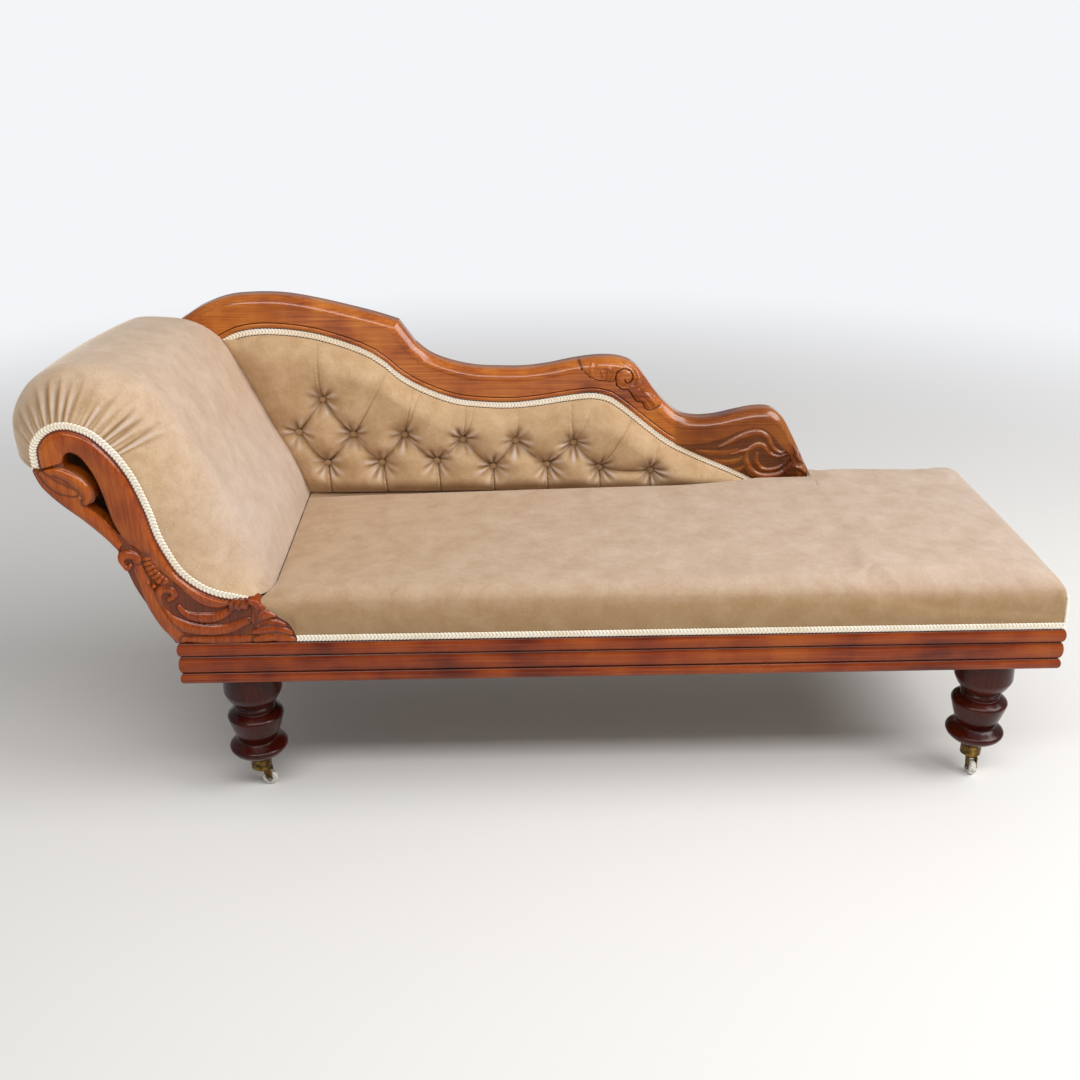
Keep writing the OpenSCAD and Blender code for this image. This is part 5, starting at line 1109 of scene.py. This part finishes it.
# One ring round the seat at each station: its foot, front, top, back and underside in turn.
rows = []
for x in stations:
    full = quarter((x - pad_x0) / head_rise) ** 0.8 * quarter((pad_x1 - x) / roll_w)
    free_rear = x >= crest_end_x
    ledge_z = pad_z if x >= step_x else np.interp(x, *ledge_line.T)
    under_board = x < pad_x0 + 2 * mm
    if under_board:
        ledge_z = seat_top - under_board_h
    box_z = max(seat_top, ledge_z + 0.8 * mm)
    above = np.interp(x, upper[:, 0], swollen * (upper[:, 0] < under_edge[-1, 0]))
    fall_y = (pad_rear if free_rear else crest_y - 2 * mm
              - (back_pad_t - edge_t) * np.sin(np.pi / 2 * above) ** 0.8)
    y0 = pad_behind if under_board else pad_front
    side_z = ledge_z + side_t * (box_z - ledge_z)
    level = (side_z - pad_z) / side_h
    front_y = (np.full(side_steps, y0) if under_board else
               y0 - side_out * (box_z - ledge_z) / side_h + corner_in(x, level))
    start, rear_in = front_y[-1], corner_in(x, 1) if free_rear else 0
    y = np.concatenate([start + roll_t * roll_w,
                        start + roll_w + mid_t * (fall_y - rear_in - start - 2 * roll_w),
                        fall_y - rear_in - roll_t[::-1] * roll_w, [fall_y - rear_in]])
    edge = quarter((y - start) / roll_w) * quarter((fall_y - rear_in - y) / roll_w)
    z = seat_top + full * edge * seat_height(x, y)
    z = np.maximum(np.maximum(z, box_z - (y - start) * 0.6), seat_top)
    if free_rear:
        back = np.column_stack([pad_rear + side_out - corner_in(x, side_t),
                                pad_z + side_t * side_h])[::-1][1:]
    else:
        bends = [0, 4, side_steps - 1]
        back = np.column_stack([np.interp(down_back, bends, [fall_y, wall_y, wall_y]),
                                np.interp(down_back, bends, [seat_top, seat_top, pad_z])])
    step, bends = np.arange(foot_steps), [0, foot_steps / 2, foot_steps]
    foot = np.column_stack([np.interp(step, bends, [pad_behind, pad_behind, y0]),
                            np.interp(step, bends, [pad_z, ledge_z, ledge_z])])
    ring = np.vstack([foot, np.column_stack([front_y, side_z]), np.column_stack([y, z]), back])
    beneath = np.linspace(back[-1, 0], pad_behind, len(mid_t))[1:-1]
    ring = np.vstack([ring, np.column_stack([beneath, np.full(len(beneath), pad_z)])])
    swell = np.sin(np.pi / 2 * np.clip((ring[:, 0] - board_y) / swell_d, 0, 1)) ** 0.8
    fill = ((1 - swell) * (pad_x0 - fine_braid[0, 0] - 2 * mm)
            * np.clip(1 - (x - pad_x0) / (30 * mm), 0, 1)
            * np.clip((ring[:, 1] - seat_top + 40 * mm) / (10 * mm), 0, 1))
    rows.append(np.column_stack([x - fill, ring]))
# The foot end is boxed too: the last ring goes down it, step by step, to the rail.
last, front_top = rows[-1], foot_steps + side_steps - 1
rear_top = front_top + len(y)
share_y = np.clip((last[:, 1] - last[front_top, 1])
                  / (last[rear_top, 1] - last[front_top, 1]), 0, 1)
for t, out in list(zip(side_t, side_out))[::-1][1:]:
    end_row = last.copy()
    high = last[:, 2] > pad_z + t * side_h
    r = corner_r(t)
    end_row[high, 1] = (pad_front + r + (pad_rear - pad_front - 2 * r) * share_y)[high]
    end_row[high, 2] = pad_z + t * side_h
    end_row[high, 0] = pad_x1 + out * np.clip(np.minimum(share_y, 1 - share_y)[high] * 12, 0, 1)
    rows.append(end_row)
rows.append(np.column_stack([np.full(len(last), pad_x1), rows[-1][:, 1],
                             np.full(len(last), pad_z)]))
seat = shown("seat_velvet", *surface(rows, around=True, ends=True), velvet, turn=85)
work = bmesh.new()
work.from_mesh(seat.data)
bmesh.ops.remove_doubles(work, verts=work.verts, dist=0.05 * mm)
bmesh.ops.dissolve_degenerate(work, edges=work.edges, dist=0.02 * mm)
bmesh.ops.recalc_face_normals(work, faces=work.faces)
work.to_mesh(seat.data)
work.free()
seat.data.shade_smooth()
before = np.empty(3 * len(seat.data.vertices), np.float32)
seat.data.vertices.foreach_get("co", before)
before = before.reshape(-1, 3)
x, y, z = before.T
loose = (np.clip((z - pad_z - gimp_w - 2 * mm) / (14 * mm), 0, 1)
         * np.clip((x - step_x) / (60 * mm), 0.0, 1)
         * np.clip(1 - np.clip((y - crest_y + 75 * mm) / (30 * mm), 0, 1)
                   + (x - crest_end_x - 5 * mm) / (30 * mm), 0, 1))
# Stuffing: pressure blows the velvet out while its tacked edges stay, 2 mm at the sides and up
# to 5 mm on top at most.
blow_frames, blow_pressure = 20, 4
tacked = seat.vertex_groups.new(name="tacked")
for k in np.flatnonzero(loose < 0.02):
    tacked.add([int(k)], 1, "REPLACE")
cloth = seat.modifiers.new("stuffing", "CLOTH")
cloth.settings.vertex_group_mass = "tacked"
cloth.settings.use_pressure = True
cloth.settings.uniform_pressure_force = blow_pressure
cloth.settings.effector_weights.gravity = 0
cloth.settings.quality = 4
cloth.point_cache.frame_start, cloth.point_cache.frame_end = 1, blow_frames
for number in range(1, blow_frames + 1):
    bpy.context.scene.frame_set(number)
blown = seat.evaluated_get(bpy.context.evaluated_depsgraph_get()).data
after = np.empty_like(before).ravel()
blown.vertices.foreach_get("co", after)
moved = after.reshape(-1, 3) - before
distance = np.linalg.norm(moved, axis=1)
most = np.interp(z, [seat_top, seat_top + 20 * mm], [2 * mm, 5 * mm]) * loose
moved *= np.minimum(1, most / np.maximum(distance, 1e-9))[:, None]
seat.modifiers.remove(cloth)
seat.vertex_groups.remove(tacked)
bpy.context.scene.frame_set(1)
seat.data.vertices.foreach_set("co", (before + moved).ravel())
seat.data.update()
# Painted light and shade: the top is paler than the boxed sides, more so towards the foot, with
# some wear, and the sides are darker.
top_share = np.clip((z - seat_top + 18 * mm) / (50 * mm), 0, 1)
top_share = top_share ** 2 * (3 - 2 * top_share)
to_foot = np.clip((x - pad_x0) / (pad_x1 - pad_x0), 0, 1)
marked(seat, crush=0.12 + 0.30 * (1 - top_share), worn=top_share * (0.35 + 0.6 * to_foot))
seat.modifiers.new("rounding", "SUBSURF").levels = 1
seat.modifiers["rounding"].render_levels = 1
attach(seat, "frame")
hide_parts("seat_pad")

# The seat's braid and the piping. The braid covers the tacks along the rail, from the toe of the
# scroll round the foot end to the foot of the crest, and a cord stands up the front corner.
turn_r, quarter_turn = 3 * mm, np.linspace(-np.pi / 2, 0, 7)
first_turn, second_turn = (turn_r * np.column_stack([np.cos(a), np.sin(a)])
                           for a in (quarter_turn, quarter_turn + np.pi / 2))
plan = np.vstack([
    [[step_x + 0.5 * mm, face_y + pad_side]],
    [pad_x1 - turn_r, face_y + pad_side + turn_r] + first_turn,
    [pad_x1 - turn_r, pad_rear - turn_r] + second_turn,
    [[crest_end_x + 1 * mm, pad_rear]]])
round_seat = along_line(plan, np.linspace(0, 1, 2400))
gimp("seat_gimp_braid",
     np.column_stack([round_seat, np.full(len(round_seat), rail_top + 0.2 * mm)]),
     np.tile([0.0, 0, 1], (len(round_seat), 1)), "seat_gimp")

cord_r, lay_of_strands, cord_steps = 2.3 * mm, 9 * mm, 90
height = np.linspace(rail_top + gimp_w, seat_top - 5 * mm, cord_steps)
angle = np.linspace(0, 2 * np.pi, 24, endpoint=False)
strand = 1 + 0.09 * np.cos(3 * (angle - 2 * np.pi * height[:, None] / (3 * lay_of_strands)))
ends = np.sqrt(np.clip(1 - np.abs(np.linspace(-1, 1, cord_steps)) ** 24, 0.05, 1))[:, None]
inward = (1 - np.sqrt(0.5)) * corner_r((height - pad_z) / side_h)
middle = np.column_stack([pad_x1 + 1.2 * mm - inward, pad_front - 1.2 * mm + inward])
cord = np.stack([middle[:, :1] + cord_r * strand * ends * np.cos(angle),
                 middle[:, 1:] + cord_r * strand * ends * np.sin(angle),
                 np.broadcast_to(height[:, None], strand.shape)], -1)
piping = shown("corner_piping_cord", *surface(cord, around=True, ends=True), braid, turn=70)
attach(piping, "frame")
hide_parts("corner_piping")
